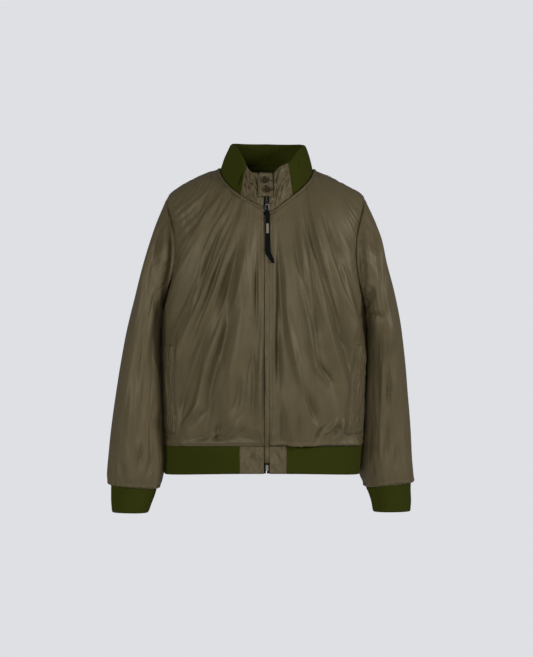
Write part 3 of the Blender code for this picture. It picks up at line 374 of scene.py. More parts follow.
def makeRib():
    material = newMaterial("rib_knit", Roughness=ribLook["roughness"], Sheen_Weight=0.1, Sheen_Roughness=0.6,
                           Sheen_Tint="#5C6224", Specular_IOR_Level=0.12)
    place = addNode(material, "TexCoord").outputs["UV"]
    nap = addNode(material, "TexNoise", {"Vector": place}, Scale=420.0, Detail=4.0)
    course = addNode(material, "TexWave", {"Vector": place}, Scale=bandScale(ribLook["course"]),
                     bands_direction="Y", Distortion=1.5, Detail=2.0)
    both = addNode(material, "Math", {0: nap.outputs[0], 1: course.outputs[1]}, operation="ADD")
    bump = addNode(material, "Bump", {"Height": both.outputs[0]}, Strength=ribLook["bump"], Distance=0.0005)
    return painted(material, ribLook["colours"], nap.outputs[0], bump)


def makeWoven(name, colours, spacing, strength, **sockets):
    # polyester and nylon yarn, matt, with a fine diagonal twill: tape, strap, label and thread
    material = newMaterial(name, **sockets)
    place = addNode(material, "TexCoord").outputs["UV"]
    twill = addNode(material, "TexWave", {"Vector": place}, Scale=bandScale(spacing),
                    bands_direction="DIAGONAL", Distortion=0.8, Detail=1.0)
    bump = addNode(material, "Bump", {"Height": twill.outputs[1]}, Strength=strength, Distance=0.0003)
    return painted(material, colours, twill.outputs[1], bump)


def makeMetal(name, colours, roughness):
    # plated zinc: cast, tumbled and plated, with fine handling marks
    material = newMaterial(name, Metallic=1.0, Roughness=roughness)
    place = addNode(material, "TexCoord").outputs["Object"]
    marks = addNode(material, "TexNoise", {"Vector": place}, Scale=900.0, Detail=3.0)
    bump = addNode(material, "Bump", {"Height": marks.outputs[0]}, Strength=0.08, Distance=0.0002)
    return painted(material, colours, marks.outputs[0], bump)


def makeResin():
    # cast polyester buttons, horn-like: polished, with drifting brown and olive layers
    material = newMaterial("cast_polyester", Roughness=0.3, IOR=1.54, Specular_IOR_Level=0.35)
    place = addNode(material, "TexCoord").outputs["Object"]
    layers = addNode(material, "TexNoise", {"Vector": place}, Scale=320.0, Detail=3.0, Distortion=1.2)
    return painted(material, ("#140E05", "#33280F"), layers.outputs[0])


finish = {
    "nylon": makeNylon(),
    "rib": makeRib(),
    "tape": makeWoven("polyester_tape", ("#050606", "#0C0E0F"), 0.0012, 0.4, Roughness=0.9,
                      Specular_IOR_Level=0.15),
    "strap": makeWoven("nylon_webbing", ("#020303", "#07090A"), 0.0016, 0.6, Roughness=0.8,
                       Specular_IOR_Level=0.1),
    "label": makeWoven("damask_label", ("#625E52", "#7E796B"), 0.0009, 0.3, Roughness=0.85),
    "metal": makeMetal("nickel_plate", ("#5E5C57", "#82807A"), 0.34),
    "slider": makeMetal("gunmetal_plate", ("#2B2A27", "#3E3C38"), 0.38),
    # thread in the cloth's tone, made a little darker as painted shade along the stitched lines
    "thread": makeWoven("polyester_thread_with_painted_shade", ("#3C3524", "#4C4430"), 0.0005, 0.3, Roughness=0.55),
    # near-black thread: painted shade for the stitched lines of the pocket and the tab, and for the
    # buttonhole slits
    "darkThread": makeWoven("painted_shade_thread", ("#15120A", "#211C10"), 0.0005, 0.3, Roughness=0.6),
    "resin": makeResin(),
}
print("materials made:", len(finish))


def addItem(name, mesh, look):
    mesh.materials.append(look)
    item = bpy.data.objects.new(name, mesh)
    bpy.context.scene.collection.objects.link(item)
    return item


def gridMesh(name, points, closed, creases):
    # two UV maps: the flat cloth in metres, and the way that its small creases run
    rows, columns = points.shape[:2]
    across, down = runLengths(points, 1), runLengths(points, 0)
    uv = np.stack([across, down[-1:].mean() - down], axis=-1)
    used = columns - 1 if closed else columns
    index = np.arange(rows * used).reshape(rows, used)
    if closed:
        index = np.concatenate([index, index[:, :1]], axis=1)
    faces = np.stack([index[:-1, :-1], index[1:, :-1], index[1:, 1:], index[:-1, 1:]], axis=-1)
    mesh = bpy.data.meshes.new(name)
    mesh.from_pydata(points[:, :used].reshape(-1, 3).tolist(), [], faces.reshape(-1, 4).tolist())
    if creases is None:
        creases = np.stack([across / 0.012, down / 0.06], axis=-1)
    for label, values in (("cloth", uv), ("creases", creases)):
        corner = np.stack([values[:-1, :-1], values[1:, :-1], values[1:, 1:], values[:-1, 1:]], axis=2)
        layer = mesh.uv_layers.new(name=label)
        layer.data.foreach_set("uv", corner.reshape(-1).astype(np.float32))
    return mesh


def wear(item, nodes, slot, body="jacket", flat=None, held="stretched", area=None):
    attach(item, body)
    if nodes:
        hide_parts(*nodes)


def makeSheet(name, node, points, kind, cut, facing=-1, creases=None, **worn):
    # a sheet moved to its place and thickened away from its outer side, which looks to -Y where facing
    # is -1 and to +Y where it is 1; a tube has facing 0 and looks away from its own middle
    mesh = gridMesh(name, points, facing == 0, creases)
    row, column = points.shape[0] // 2, points.shape[1] // 3
    middle = points[row, column]
    normal = np.cross(points[row + 1, column] - middle, points[row, column + 1] - middle)
    away = np.array((0, facing, 0)) if facing else (middle - points.reshape(-1, 3).mean(axis=0)) * (1, 1, 0)
    if normal.dot(away) < 0:
        mesh.flip_normals()
    look = "nylon" if kind == "trim" else kind
    item = addItem(name, mesh, finish[look])
    mesh.shade_smooth()
    wall = item.modifiers.new("Wall", "SOLIDIFY")
    wall.thickness = cloth[kind]
    wall.offset = -1
    bpy.context.view_layer.objects.active = item
    bpy.ops.object.modifier_apply(modifier="Wall")
    wear(item, [node], look, flat=cut["flat"], area=cut.get("area"), **worn)


def seamIn(edge, inside, space):
    return edge + unit(inside - edge) * space / 2


def narrowed(points, space, edges=("first", "last")):
    # the first and last columns drawn in by half of a seam's width
    if "first" in edges:
        points[:, 0] = seamIn(points[:, 0], points[:, 1], space)
    if "last" in edges:
        points[:, -1] = seamIn(points[:, -1], points[:, -2], space)
    return points


def turnedTo(edge, *grids):
    # the grids with an edge brought to their first row
    if edge in ("first", "last"):
        grids = [grid.swapaxes(0, 1) for grid in grids]
    return [grid[::-1] if edge in ("bottom", "last") else grid for grid in grids]


def turnedBack(edge, *grids):
    # the grids that turnedTo gave, as they were
    grids = [grid[::-1] if edge in ("bottom", "last") else grid for grid in grids]
    return [grid.swapaxes(0, 1) if edge in ("first", "last") else grid for grid in grids]


def withAllowance(points, edges, inward=-1, length=0.0055, depth=0.0014):
    # the seam allowance turns in at an edge and lies under the next piece; inward is +1 or -1
    normal = gridNormals(points) * inward
    profile = ((length, depth + 0.0003), (0.0006, depth), (0.0002, depth * 0.55))
    for edge in edges:
        points, normal = turnedTo(edge, points, normal)
        # four columns back is one whole rib of the knit
        way = unit(points[0] - points[4 if edge in ("first", "last") else 2])
        turned = np.stack([points[0] + way * out + normal[0] * fall for out, fall in profile])
        points = np.concatenate([turned, points])
        normal = np.concatenate([normal[:1]] * 3 + [normal])
        points, normal = turnedBack(edge, points, normal)
    return points


def puckers(look, *places):
    # short gathers where a seam holds the cloth in; places: the distance from it and the way along it,
    # look["puckers"]: the gathers' width, height, reach and seed at each
    total = 0
    for (distance, along), (wave, height, reach, seed) in zip(places, look["puckers"]):
        rise = smoothStep(distance / 0.004) * np.exp(-distance / reach)
        total = total + softNoise(along / wave, distance / 0.05, seed) * rise * height
    return total


def seamEdge(distances, depth=0.0007, reach=0.0035):
    # the cloth turns in at its sewn edges
    return -depth * sum(bellCurve(distance, reach) for distance in distances)


def seamLip(distance):
    # the fuller cloth swells just above a gathered seam
    return 0.0024 * bellCurve(distance - 0.0065, 0.0042)


def clearOfSeam(height, distance, least=-0.0002, inner=0.016, fade=0.008):
    # beside a seam the cloth can't sink into the next piece
    near = smoothStep((inner - distance) / fade)
    return np.maximum(height, least) * near + height * (1 - near)


# Front panels. Folds in millimetres: x and z where each starts, bends and ends, height, two half widths.
frontFolds = (
    (-68, -86, -114.8, -177.6, -153.4, -332, -6.6, 6.5, 5),
    (-56, -78, -108.7, -218, -175.8, -375, 5.6, 5.5, 6.5),
    (-72, -123, -102.6, -218, -141.2, -332, -4, 4.5, 4.5),
    (-62, -117, -108.7, -267, -171.7, -421, 5.2, 5.5, 7.5),
    (-46, -96, -82.3, -258.8, -133.1, -399, -6.8, 9, 11),
    (-121, -356, -153.4, -474.2, -181.9, -525, -5.6, 7.5, 9.5),
    (-38, -110, -52, -235, -100, -360, 4.2, 7.5, 10),
    (-128, -56, -145.3, -108.5, -161.5, -155, -4.2, 10, 10),
    (-90, -64, -110.7, -104.4, -129, -149, -3.4, 8.5, 8.5),
    (-174, -78, -167.6, -104.4, -173.7, -131, -1.4, 3.4, 3.4),
    (-164, -78, -157.5, -101, -161.5, -125, -1.2, 3.4, 3.4),
    (-120, -190, -140, -250, -170, -305, 3, 7, 7),
    (-69, -399, -61.2, -470, -87.2, -518, -5.2, 6.5, 13),
    (-54, -387, -47.8, -468, -70.1, -529, 3.8, 5.5, 5.5),
    (-98, -370, -102, -440, -130, -500, 4, 8, 8),
    (-184, -543, -155.4, -509, -125, -474, 4.8, 5, 5),
    (-172, -556, -143.3, -519, -118.9, -494, -4.8, 5, 5),
    (-30, -366, -25.4, -448, -33.5, -529, -3.4, 4.5, 4.5),
    (-140, -568, -112, -558, -92, -540, 5, 5.5, 5.5),
    (-88, -572, -68, -540, -44, -506, 5.2, 5.5, 7.5),
    (-104, -574, -101, -545, -98, -520, -4.4, 5, 5),
    (-60, -572, -52, -548, -42, -528, -3.6, 5, 5),
    (88, -68, 116.4, -208, 163.6, -354, 5.6, 7.5, 5.5),
    (113, -82, 137.2, -173.5, 158.9, -267, -5.6, 5.5, 9.5),
    (52, -174, 84.3, -336, 98.6, -448, 5, 7.5, 5.5),
    (78, -113, 96.5, -281, 96.1, -389, -6.2, 6.5, 9.5),
    (97, -389, 118.9, -429.5, 145.3, -466, -5.6, 6.5, 6.5),
    (90, -399, 112.8, -429.5, 153.4, -470, 5.4, 5.5, 5.5),
    (35, -208, 51.8, -370.6, 88.4, -503, 4.8, 8, 7),
    (70, -438, 90.4, -492.5, 108.7, -539, -4.8, 5.5, 8.5),
    (21, -123, 29.5, -254.8, 37.6, -377, -3.6, 6.5, 6.5),
    (127, -315, 146, -345, 167.7, -377, -3.4, 4.5, 4.5),
    (60, -100, 70, -170, 74, -260, 3.6, 7, 7),
    (148, -200, 158, -245, 175, -300, -3.4, 6, 6),
    (113, -554, 129, -535, 147.3, -515, 5, 4, 4),
    (135, -560, 143, -542, 155.5, -523, -4.4, 4, 4),
    (158, -560, 156, -536, 160, -512, 4, 4, 4),
    (100, -572, 106, -548, 122, -528, -4.4, 4.5, 4.5),
    (58, -572, 64, -535, 58, -480, -3.6, 6.5, 6.5),
    (30, -572, 34, -530, 28, -470, -3, 6, 6),
    (26, -330, 24, -400, 30, -480, -2.8, 6, 6),
)
frontLook = {
    "fade": {"left": (0.01, 0.004, 0.008, 0.024), "right": (0.01, 0.004, 0.024, 0.008)},
    "layers": ((15, 0.27, 0.26, 3, -0.02, 0.22, 0), (39, 0.08, 0.16, 11, -0.02, 0.22, 0),
               (30, 0.32, 0.2, 27, 0.12, 0.2, 0)),
    "shift": 0, "broad": 0.03, "folds": {"right": 1.42, "left": 2.05},
    "facets": {"right": 1.0, "left": 1.25},
    "puckers": ((0.01, 0.0016, 0.016, 5), (0.007, 0.0034, 0.016, 6), (0.01, 0.0017, 0.012, 7),
                (0.009, 0.0026, 0.015, 8)),
    "fanMiddle": 0.01, "bend": (0.09, 0.16, 0.024), "facing": (1.5, 0.12),
    "overZip": (-0.0008, 0.0165, 0.006), "stiff": 0.65, "stiffFade": (8, 10), "flat": (0.3, 0.61),
    "area": 0.146,
}


def panelSeam():
    onRidge = np.arange(armEnd + bodyCut["sideRows"] + 1) <= bodyCut["ridgeRows"]
    return np.where(onRidge, seams["shoulder"], seams["line"])[:, None]


def frontGrid(side):
    near, far = bodyCut["frontColumns"], bodyCut["sideColumns"]
    t = panelGridRows(np.linspace(0, 1, near + far + 1))
    start = np.abs(angleAtX(t, signs[side] * bodyCut["zipEdge"][side]))
    end = armholeAngle(t, "front")
    drop = smoothStep((t - bodyCut["pocketFrom"]) / (bodyCut["hem"] - bodyCut["pocketFrom"]))
    high, low = bodyCut["pocketLine"][side]
    pocket = armholeAngle(t, "front", True) * (high + (low - high) * drop)
    column = np.arange(near + far + 1)
    first, last = np.clip(column / near, 0, 1), np.clip((column - near) / far, 0, 1)
    angles = start + (pocket - start) * first + (end - pocket) * last
    points = narrowed(bodyPoint(t, signs[side] * angles), panelSeam(), ("last",))
    return points[:, ::-1] if side == "right" else points


def overWelt(shape, side):
    # 1 where the pocket's welt and its facing stiffen the front
    row, column = np.arange(shape[0])[:, None], np.arange(shape[1])[None, :]
    if side == "right":
        column = shape[1] - 1 - column
    top, bottom = (armEnd + number for number in bodyCut["pocketRows"])
    beside = column - bodyCut["frontColumns"]
    rows, columns = frontLook["stiffFade"]
    along = smoothStep((row - top + rows) / rows) * smoothStep((bottom + rows - row) / rows)
    return along * smoothStep((beside + columns) / columns)


def frontPoints(side):
    points = frontGrid(side)
    sign = signs[side]
    down, below, across, after = edgeDistances(points)
    zipSide, outer = (across, after) if side == "left" else (after, across)
    x, z = points[..., 0], points[..., 2]
    height = frontLook["folds"][side] * foldHeight(x, z, frontFolds)
    drop = np.maximum(-z, 0.02)
    # the folds fan out below the neck: fan is the same all along one of them
    middle = frontLook["fanMiddle"]
    fan = (x + middle) / (0.05 + drop) if side == "right" else x / (0.6 + 2.6 * drop) * 3.2
    wideBend, longBend, strength = frontLook["bend"]
    bend = softNoise(x / wideBend, z / longBend, 9 + sign) * strength
    wide = np.clip(0.05 + drop, 0.12, 0.5) * frontLook["facets"][side]
    height += creaseLayers(frontLook, fan + bend, z, drop, wide, sign)
    height += creaseNoise((fan + bend) * 8, z / 0.38, 4 + sign) * frontLook["broad"] * smoothStep(drop / 0.3)
    # they flatten where the cloth turns to the side or up to the shoulder, so the outline stays smooth
    scale, least = frontLook["facing"]
    facing = smoothStep(np.abs(gridNormals(points)[..., 1]) * scale - least)
    height *= edgeFade(points, frontLook["fade"][side]) * facing
    height *= 1 - frontLook["stiff"] * overWelt(points.shape, side)
    height += puckers(frontLook, (zipSide, down), (below, across), (outer, down), (down, across))
    height += seamEdge((below, outer, down)) + seamLip(below)
    height = clearOfSeam(clearOfSeam(height, zipSide, *frontLook["overZip"]), below)
    # the crisp creases fan out less than the folds, so they don't crowd on the shoulder
    gentle = (x + middle) / (0.16 + drop) * 1.15 if side == "right" else fan
    return lifted(points, height), creaseMap(gentle + bend, z)


fronts = {}
for side in signs:
    fronts[side], creases = frontPoints(side)
    makeSheet("front_" + side + "_cloth", "front_" + side + "_panel", fronts[side], "nylon", frontLook,
              creases=creases)
print("fronts made")

# Back panel, one piece: long drapes from the shoulder blades and soft gathers at the hem.
backFolds = (
    (-120, -110, -85, -260, -110, -440, 5.2, 14, 14),
    (115, -105, 90, -270, 118, -430, 5.6, 13, 13),
    (-50, -80, -30, -250, -52, -420, -4.4, 15, 15),
    (45, -85, 36, -230, 60, -460, -4, 15, 15),
    (-165, -330, -140, -430, -150, -560, 5, 12, 12),
    (160, -350, 138, -440, 146, -560, 4.6, 12, 12),
    (-80, -470, -78, -530, -90, -574, -4.4, 9, 9),
    (-10, -480, -4, -530, -8, -574, 4.4, 9, 9),
    (78, -490, 86, -530, 80, -574, -4.4, 9, 9),
    (-145, -180, -168, -240, -176, -300, -4.4, 10, 12),
    (142, -170, 164, -235, 176, -310, -4.8, 12, 10),
    (10, -300, 4, -400, 20, -500, 3, 16, 16),
    (-40, -572, -44, -545, -38, -515, 3.6, 7, 7),
    (40, -572, 36, -548, 44, -520, 3.4, 7, 7),
    (120, -572, 116, -545, 126, -515, 3.6, 7, 7),
    (-125, -572, -120, -548, -130, -515, 3.6, 7, 7),
)
backLook = {
    "fade": (0.012, 0.004, 0.012, 0.012), "shift": 20, "broad": 0.009, "flat": (0.6, 0.62), "area": 0.3,
    "layers": ((13, 0.34, 0.26, 14, -0.02, 0.22, 0.2), (31, 0.2, 0.15, 31, -0.02, 0.22, 0.2),
               (24, 0.38, 0.2, 37, 0.14, 0.2, 0)),
    "puckers": ((0.009, 0.0024, 0.018, 16), (0.012, 0.0012, 0.012, 18), (0.012, 0.0012, 0.012, 17),
                (0.012, 0.0012, 0.012, 19)),
}


def backPoints():
    share = np.linspace(-1, 1, bodyCut["backColumns"] + 1)
    t = panelGridRows(np.abs(share))
    points = narrowed(bodyPoint(t, 180 + armholeAngle(t, "back") * share), panelSeam())
    down, below, across, after = edgeDistances(points)
    x, z = points[..., 0], points[..., 2]
    drop = np.maximum(-z, 0.02)
    # creases fan out from between the shoulder blades, and gather again at the hem
    fan = x / (0.34 + 1.3 * np.minimum(drop, 0.42)) * 2.0 + softNoise(x / 0.1, z / 0.16, 13) * 0.03
    height = foldHeight(x, z, backFolds) + creaseLayers(backLook, fan, z, drop, 0.3)
    height += creaseNoise(fan * 8 + 20, z / 0.38, 6) * backLook["broad"] * smoothStep(drop / 0.3)
    height *= edgeFade(points, backLook["fade"])
    height += puckers(backLook, (below, across), (down, across), (across, down), (after, down))
    height = clearOfSeam(height + seamEdge((below, down, across, after)) + seamLip(below), below)
    return lifted(points, height), np.pad(creaseMap(fan, z), ((0, 0), (3, 3), (0, 0)), mode="edge")


back, creases = backPoints()
makeSheet("back_cloth", "back_panel", withAllowance(back, ("first", "last")), "nylon", backLook, 1, creases)
print("back made")

# Sleeves: sections from the armhole to the cuff seam, in millimetres: x and z of the outer and the
# inner side, y of the middle, half depth.
sleeveCut = {
    "right": (
        (236.5, -126, 222.5, -318, -3, 82),
        (258.5, -200, 226.2, -338, -8, 89),
        (274.5, -262, 227.5, -362, -12, 90),
        (290, -330, 227.8, -395, -18, 86),
        (302.5, -400, 227.5, -430, -22, 79),
        (314.5, -475, 226.8, -485, -26, 70),
        (323, -540, 225.8, -540, -28, 64),
        (328.7, -600, 223.2, -602, -30, 58),
        (331.2, -632, 220, -636, -30, 53),
        (330, -648, 221, -654, -30, 46),
        (324.5, -659, 229, -667, -30, 37),
    ),
    "left": (
        (235.2, -126, 214, -318, 4, 80),
        (252.5, -195, 216.8, -338, 12, 87),
        (269, -255, 217, -362, 22, 89),
        (285, -330, 216, -395, 32, 85),
        (294, -400, 214, -430, 40, 78),
        (300.5, -475, 210.5, -485, 45, 70),
        (305, -540, 206.5, -540, 47, 64),
        (308, -600, 201, -605, 47, 58),
        (310.6, -635, 201, -640, 46, 52),
        (311.2, -651, 205, -656, 45, 46),
        (307, -660, 211, -669, 44, 38),
    ),
    "square": 2.25, "around": 144, "down": 14, "flat": (0.48, 0.59), "area": 0.194,
}
# Their folds as on the fronts, for the half that is seen and for the rear one.
sleeveFolds = {
    ("right", "front"): (
        (-196, -78, -190, -153, -204, -290, -11, 7, 8),
        (-204, -84, -215.5, -190, -228.6, -356, 5.2, 7.5, 8),
        (-226, -330, -231, -450, -233, -610, 4.4, 8.5, 8.5),
        (-209, -90, -234.5, -200, -246.8, -320, -6.2, 7, 9),
        (-246, -290, -262, -400, -276, -520, -5, 8, 10),
        (-216, -100, -250, -220, -280, -400, 4.4, 10, 10),
        (-245, -377, -253, -478, -261, -580, -4, 6, 6),
        (-268, -420, -280, -520, -290, -630, 3.6, 8, 8),
        (-262, -545, -264.2, -580, -270, -612, 4, 3.5, 5),
        (-256, -560, -258, -600, -266, -640, -4, 5, 5),
        (-238, -590, -242, -620, -250, -650, -3.4, 5, 5),
        (-300, -600, -296, -625, -294, -652, -3.4, 5, 5),
    ),
    ("right", "rear"): (
        (-200, -90, -215, -200, -235, -330, -8, 11, 11),
        (-225, -110, -255, -230, -275, -400, 5, 10, 10),
        (-240, -300, -250, -420, -260, -560, -5, 10, 10),
        (-270, -350, -285, -460, -295, -600, 4.4, 9, 9),
        (-250, -540, -256, -590, -260, -645, -4, 6, 6),
        (-285, -560, -288, -600, -290, -645, -3.6, 6, 6),
    ),
    ("left", "front"): (
        (194, -80, 180, -153, 188, -235, -11, 7, 6),
        (200, -92, 208, -173, 216.4, -250, 5, 7.5, 7.5),
        (194, -153, 198, -224, 203, -285, -5, 6.5, 6.5),
        (212, -100, 227, -180, 232, -260, -3.6, 6, 6),
        (216, -90, 242, -190, 252, -290, 4.4, 8.5, 8.5),
        (200, -303, 212.4, -271, 224, -240, -6.4, 5, 8),
        (204, -300, 230.6, -307.7, 248, -312, -5, 6, 6),
        (251, -290, 256, -346, 247, -400, 6.6, 12, 13),
        (232, -330, 230, -400, 234, -480, -5.6, 9, 7),
        (241, -390, 243, -448, 239, -515, 4.6, 5, 6),
        (251, -400, 253, -450, 250, -520, -4, 5, 5),
        (262, -415, 264, -465, 260, -530, 4, 6, 7),
        (252, -505, 251, -570, 247, -635, -4.8, 4.5, 5),
        (241, -540, 240, -590, 243, -640, 3.6, 5.5, 4.5),
        (218, -400, 221, -470, 216, -560, 3.6, 8, 8),
        (205, -300, 206, -430, 212, -560, -4.6, 8, 8),
        (272, -560, 274, -600, 272, -645, -3.8, 5, 5),
        (224, -600, 223, -625, 228, -650, -3.4, 5, 5),
    ),
    ("left", "rear"): (
        (200, -90, 212, -200, 228, -330, -8, 11, 11),
        (225, -110, 250, -230, 265, -400, 5, 10, 10),
        (235, -320, 242, -430, 248, -560, -5, 10, 10),
        (262, -350, 275, -460, 280, -600, 4.4, 9, 9),
        (240, -540, 245, -590, 248, -645, -4, 6, 6),
        (272, -560, 275, -600, 276, -645, -3.6, 6, 6),
    ),
}
# How far each sleeve's inner side swells towards the body, and how much further low down.
sleeveLook = {
    "folds": 1.35, "facets": 0.0026, "soft": 0.001, "fade": (0.01, 0.005),
    "swell": {"right": (0.0102, 0.0022, 40.0), "left": (0.01, 0.001, 50.0)},
    "gatherPitch": 0.0125, "gather": 0.0015, "gatherReach": 0.019, "puckers": ((0.011, 0.0014, 0.014, 25),),
}


def armholeLoop(side):
    even = np.linspace(0, 1, sleeveCut["around"] // 2 + 1)
    t = bodyCut["tip"] + (1 - np.cos(math.pi * even)) / 2 * (bodyCut["underarm"] - bodyCut["tip"])
    front = bodyPoint(t, signs[side] * armholeAngle(t, "front"))
    rear = bodyPoint(t, signs[side] * (180 - armholeAngle(t, "back")))
    return np.concatenate([front, rear[::-1][1:]])


def sectionLoops(table, side, angles):
    power = 2 / sleeveCut["square"]
    c, s = np.cos(np.radians(angles)), np.sin(np.radians(angles))
    c, s = np.sign(c) * np.abs(c) ** power, np.sign(s) * np.abs(s) ** power
    loops = []
    for xOut, zOut, xIn, zIn, y, depth in np.array(table) / 1000:
        x = (xOut + xIn) / 2 + (xOut - xIn) / 2 * c
        z = (zOut + zIn) / 2 + (zOut - zIn) / 2 * c
        loops.append(np.stack([signs[side] * x, y - depth * s, z], axis=-1))
    return loops


def sleevePoints(side):
    sign = signs[side]
    loop = armholeLoop(side)
    angles = np.linspace(0, 360, len(loop))
    rings = np.array([loop] + sectionLoops(sleeveCut[side], side, angles))
    rings[0] += unit(rings[1] - rings[0]) * seams["armhole"]
    last = len(rings) - 1
    points = splineRows(rings, np.linspace(0, last, last * sleeveCut["down"] + 1))
    down, below, span, _ = edgeDistances(points)
    share = np.repeat(down[:, :1] / down[-1, 0], len(loop), axis=1)
    around = np.repeat(angles[None, :], len(points), axis=0)
    c, s = np.cos(np.radians(around)), np.sin(np.radians(around))
    normal = gridNormals(points, closed=True) * -sign
    x, z = points[..., 0], points[..., 2]
    front, rear = (foldHeight(x, z, sleeveFolds[side, half]) for half in ("front", "rear"))
    facing = smoothStep(np.abs(normal[..., 1]) * 2.2)
    height = np.where(normal[..., 1] < 0, front, rear) * facing * sleeveLook["folds"]
    stripe = around / 15 + softNoise(c + 3, share * 5, 29) * 0.8
    height += facetNoise(stripe, share * 3.5 + 2, 23 + sign) * sleeveLook["facets"] * np.abs(s) ** 0.5
    height += softNoise(c * 3 + 7, s * 3 + share * 4, 21) * sleeveLook["soft"]
    height *= edgeFade(points, sleeveLook["fade"])
    swell, low, spread = sleeveLook["swell"][side]
    swell = (swell + low * smoothStep((share - 0.45) / 0.3)) * bellCurve(around - 180, spread)
    height += swell * smoothStep(share / 0.08) * smoothStep((1 - share) / 0.1)
    uneven = softNoise(span[-1:] / 0.05, share[-1:], 24) * 2
    gather = np.cos(span[-1:] / sleeveLook["gatherPitch"] * 2 * math.pi + uneven) * sleeveLook["gather"]
    height += gather * smoothStep(below / 0.003) * np.exp(-below / sleeveLook["gatherReach"])
    height += puckers(sleeveLook, (down, span)) + seamEdge((below, down)) + seamLip(below)
    height[:, -1] = height[:, 0]
    creases = np.stack([around / 18.0, share * 4], axis=-1)
    return points + normal * height[..., None], np.pad(creases, ((3, 0), (0, 0), (0, 0)), mode="edge")


for side, sign in signs.items():
    sleeve, creases = sleevePoints(side)
    makeSheet("sleeve_" + side + "_cloth", "sleeve_" + side, withAllowance(sleeve, ("top",), sign), "nylon",
              sleeveCut, 0, creases)
print("sleeves made")

# Rib-knit cuffs, hem and collar: real ribs 3 mm apart, a folded edge at the free end.
knit = {"height": 0.00035, "perRib": 4, "turned": 0.0014, "turnedReach": 0.002, "allowance": 0.0022}
# Sections of the cuffs, as on the sleeves.
cuffCut = {
    "right": (
        (324.2, -659.4, 229.3, -667.4, -30, 36.7),
        (323.5, -676, 234, -682, -30, 34.5),
        (323.2, -698, 241, -700, -30, 33.5),
        (322.5, -715, 246.2, -716.5, -30, 32.5),
    ),
    "left": (
        (306.7, -660.4, 211.3, -669.4, 44, 37.7),
        (305.6, -678, 218, -684, 44, 35.5),
        (306.6, -701, 223.5, -703, 44, 34.5),
        (306, -720, 225.8, -721, 44, 33.5),
    ),
    "ribs": 84, "rows": 18, "flat": (0.26, 0.062), "area": 0.0158, "allowance": 0.0016,
}


def ribHeight(count, columns):
    return np.cos(np.arange(columns) / (columns - 1) * count * 2 * math.pi) * knit["height"] - knit["height"]


def cuffPoints(side):
    angles = np.linspace(0, 360, cuffCut["ribs"] * knit["perRib"] + 1)
    rings = np.array(sectionLoops(cuffCut[side], side, angles))
    points = splineRows(rings, np.linspace(0, len(rings) - 1, cuffCut["rows"] + 1))
    down, below = edgeDistances(points)[:2]
    c, s = np.cos(np.radians(angles))[None, :], np.sin(np.radians(angles))[None, :]
    uneven = softNoise(c * 2 + 5, s * 2 + down / 0.03, 31) * 0.0008
    height = (ribHeight(cuffCut["ribs"], len(angles))[None, :] + uneven) * edgeFade(points, (0.003, 0.004))
    height -= knit["turned"] * bellCurve(below, knit["turnedReach"])
    height[:, -1] = height[:, 0]
    return points + gridNormals(points, closed=True) * -signs[side] * height[..., None]


for side, sign in signs.items():
    turned = withAllowance(cuffPoints(side), ("top",), sign, depth=cuffCut["allowance"])
    makeSheet("cuff_" + side + "_knit", "cuff_" + side, turned, "rib", cuffCut, 0)

hemCut = {
    "right": 0.216, "left": 0.1965, "front": 0.115, "back": 0.101,
    "zFront": -0.63, "zSide": -0.637, "zBack": -0.637, "tuck": 0.012,
    "endAngle": {"right": 12.0, "left": 9.5}, "rows": 16, "ribs": 330,
    "flat": (0.98, 0.061), "area": 0.059, "endFlat": {"right": (0.048, 0.06), "left": (0.035, 0.06)},
}


def hemPoint(angle, v):
    angle, v = np.broadcast_arrays(np.asarray(angle, float), np.asarray(v, float))
    top = bodyPoint(np.full_like(angle, bodyCut["hem"]), angle) - np.array([0, 0, seams["line"]])
    s, c, x, y = squaredOval(angle, hemCut, bodyCut["rings"][bodyCut["hem"]][-1])
    zEnd = np.where(c >= 0, hemCut["zFront"], hemCut["zBack"])
    low = np.stack([x, y, zEnd + (hemCut["zSide"] - zEnd) * s * s], axis=-1)
    point = top + (low - top) * v[..., None]
    tuck = 1 - hemCut["tuck"] * np.clip((v - 0.9) / 0.1, 0, 1) ** 2
    point[..., :2] *= tuck[..., None]
    return point


def bandPoints(maker, angles, v):
    return narrowed(maker(angles[None, :], v[:, None]), seams["line"])


def ribBand(maker, first, last, ribs, v):
    # the angles are chosen so that the ribs are evenly spaced round the band
    trial = np.linspace(first, last, 600)
    run = runLengths(maker(trial, np.full_like(trial, 0.5))[None], 1)[0]
    even = np.linspace(0, run[-1], ribs * knit["perRib"] + 1)
    return bandPoints(maker, np.interp(even, run, trial), v)


def endBand(maker, side, inner, outer, columns, v):
    ends = sorted((inner * signs[side], outer * signs[side]))
    return bandPoints(maker, np.linspace(ends[0], ends[1], columns), v)


def knitHeight(points, ribs, fade, folds=(), seed=33):
    down, _, across, _ = edgeDistances(points)
    u, v = across / across[:, -1:], down / down[-1:]
    uneven = foldHeight(u, v, folds) + softNoise(across / 0.05, down / 0.05, seed) * 0.001
    return (ribHeight(ribs, points.shape[1])[None, :] + uneven) * edgeFade(points, fade)


ends = hemCut["endAngle"]
points = ribBand(hemPoint, ends["left"], 360 - ends["right"], hemCut["ribs"],
                 np.linspace(0, 1, hemCut["rows"] + 1))
points = lifted(points, knitHeight(points, hemCut["ribs"], (0.003, 0.004)))
turned = withAllowance(points, ("top", "first", "last"), depth=knit["allowance"])
makeSheet("hem_knit", "hem_rib", turned, "rib", hemCut, 1)

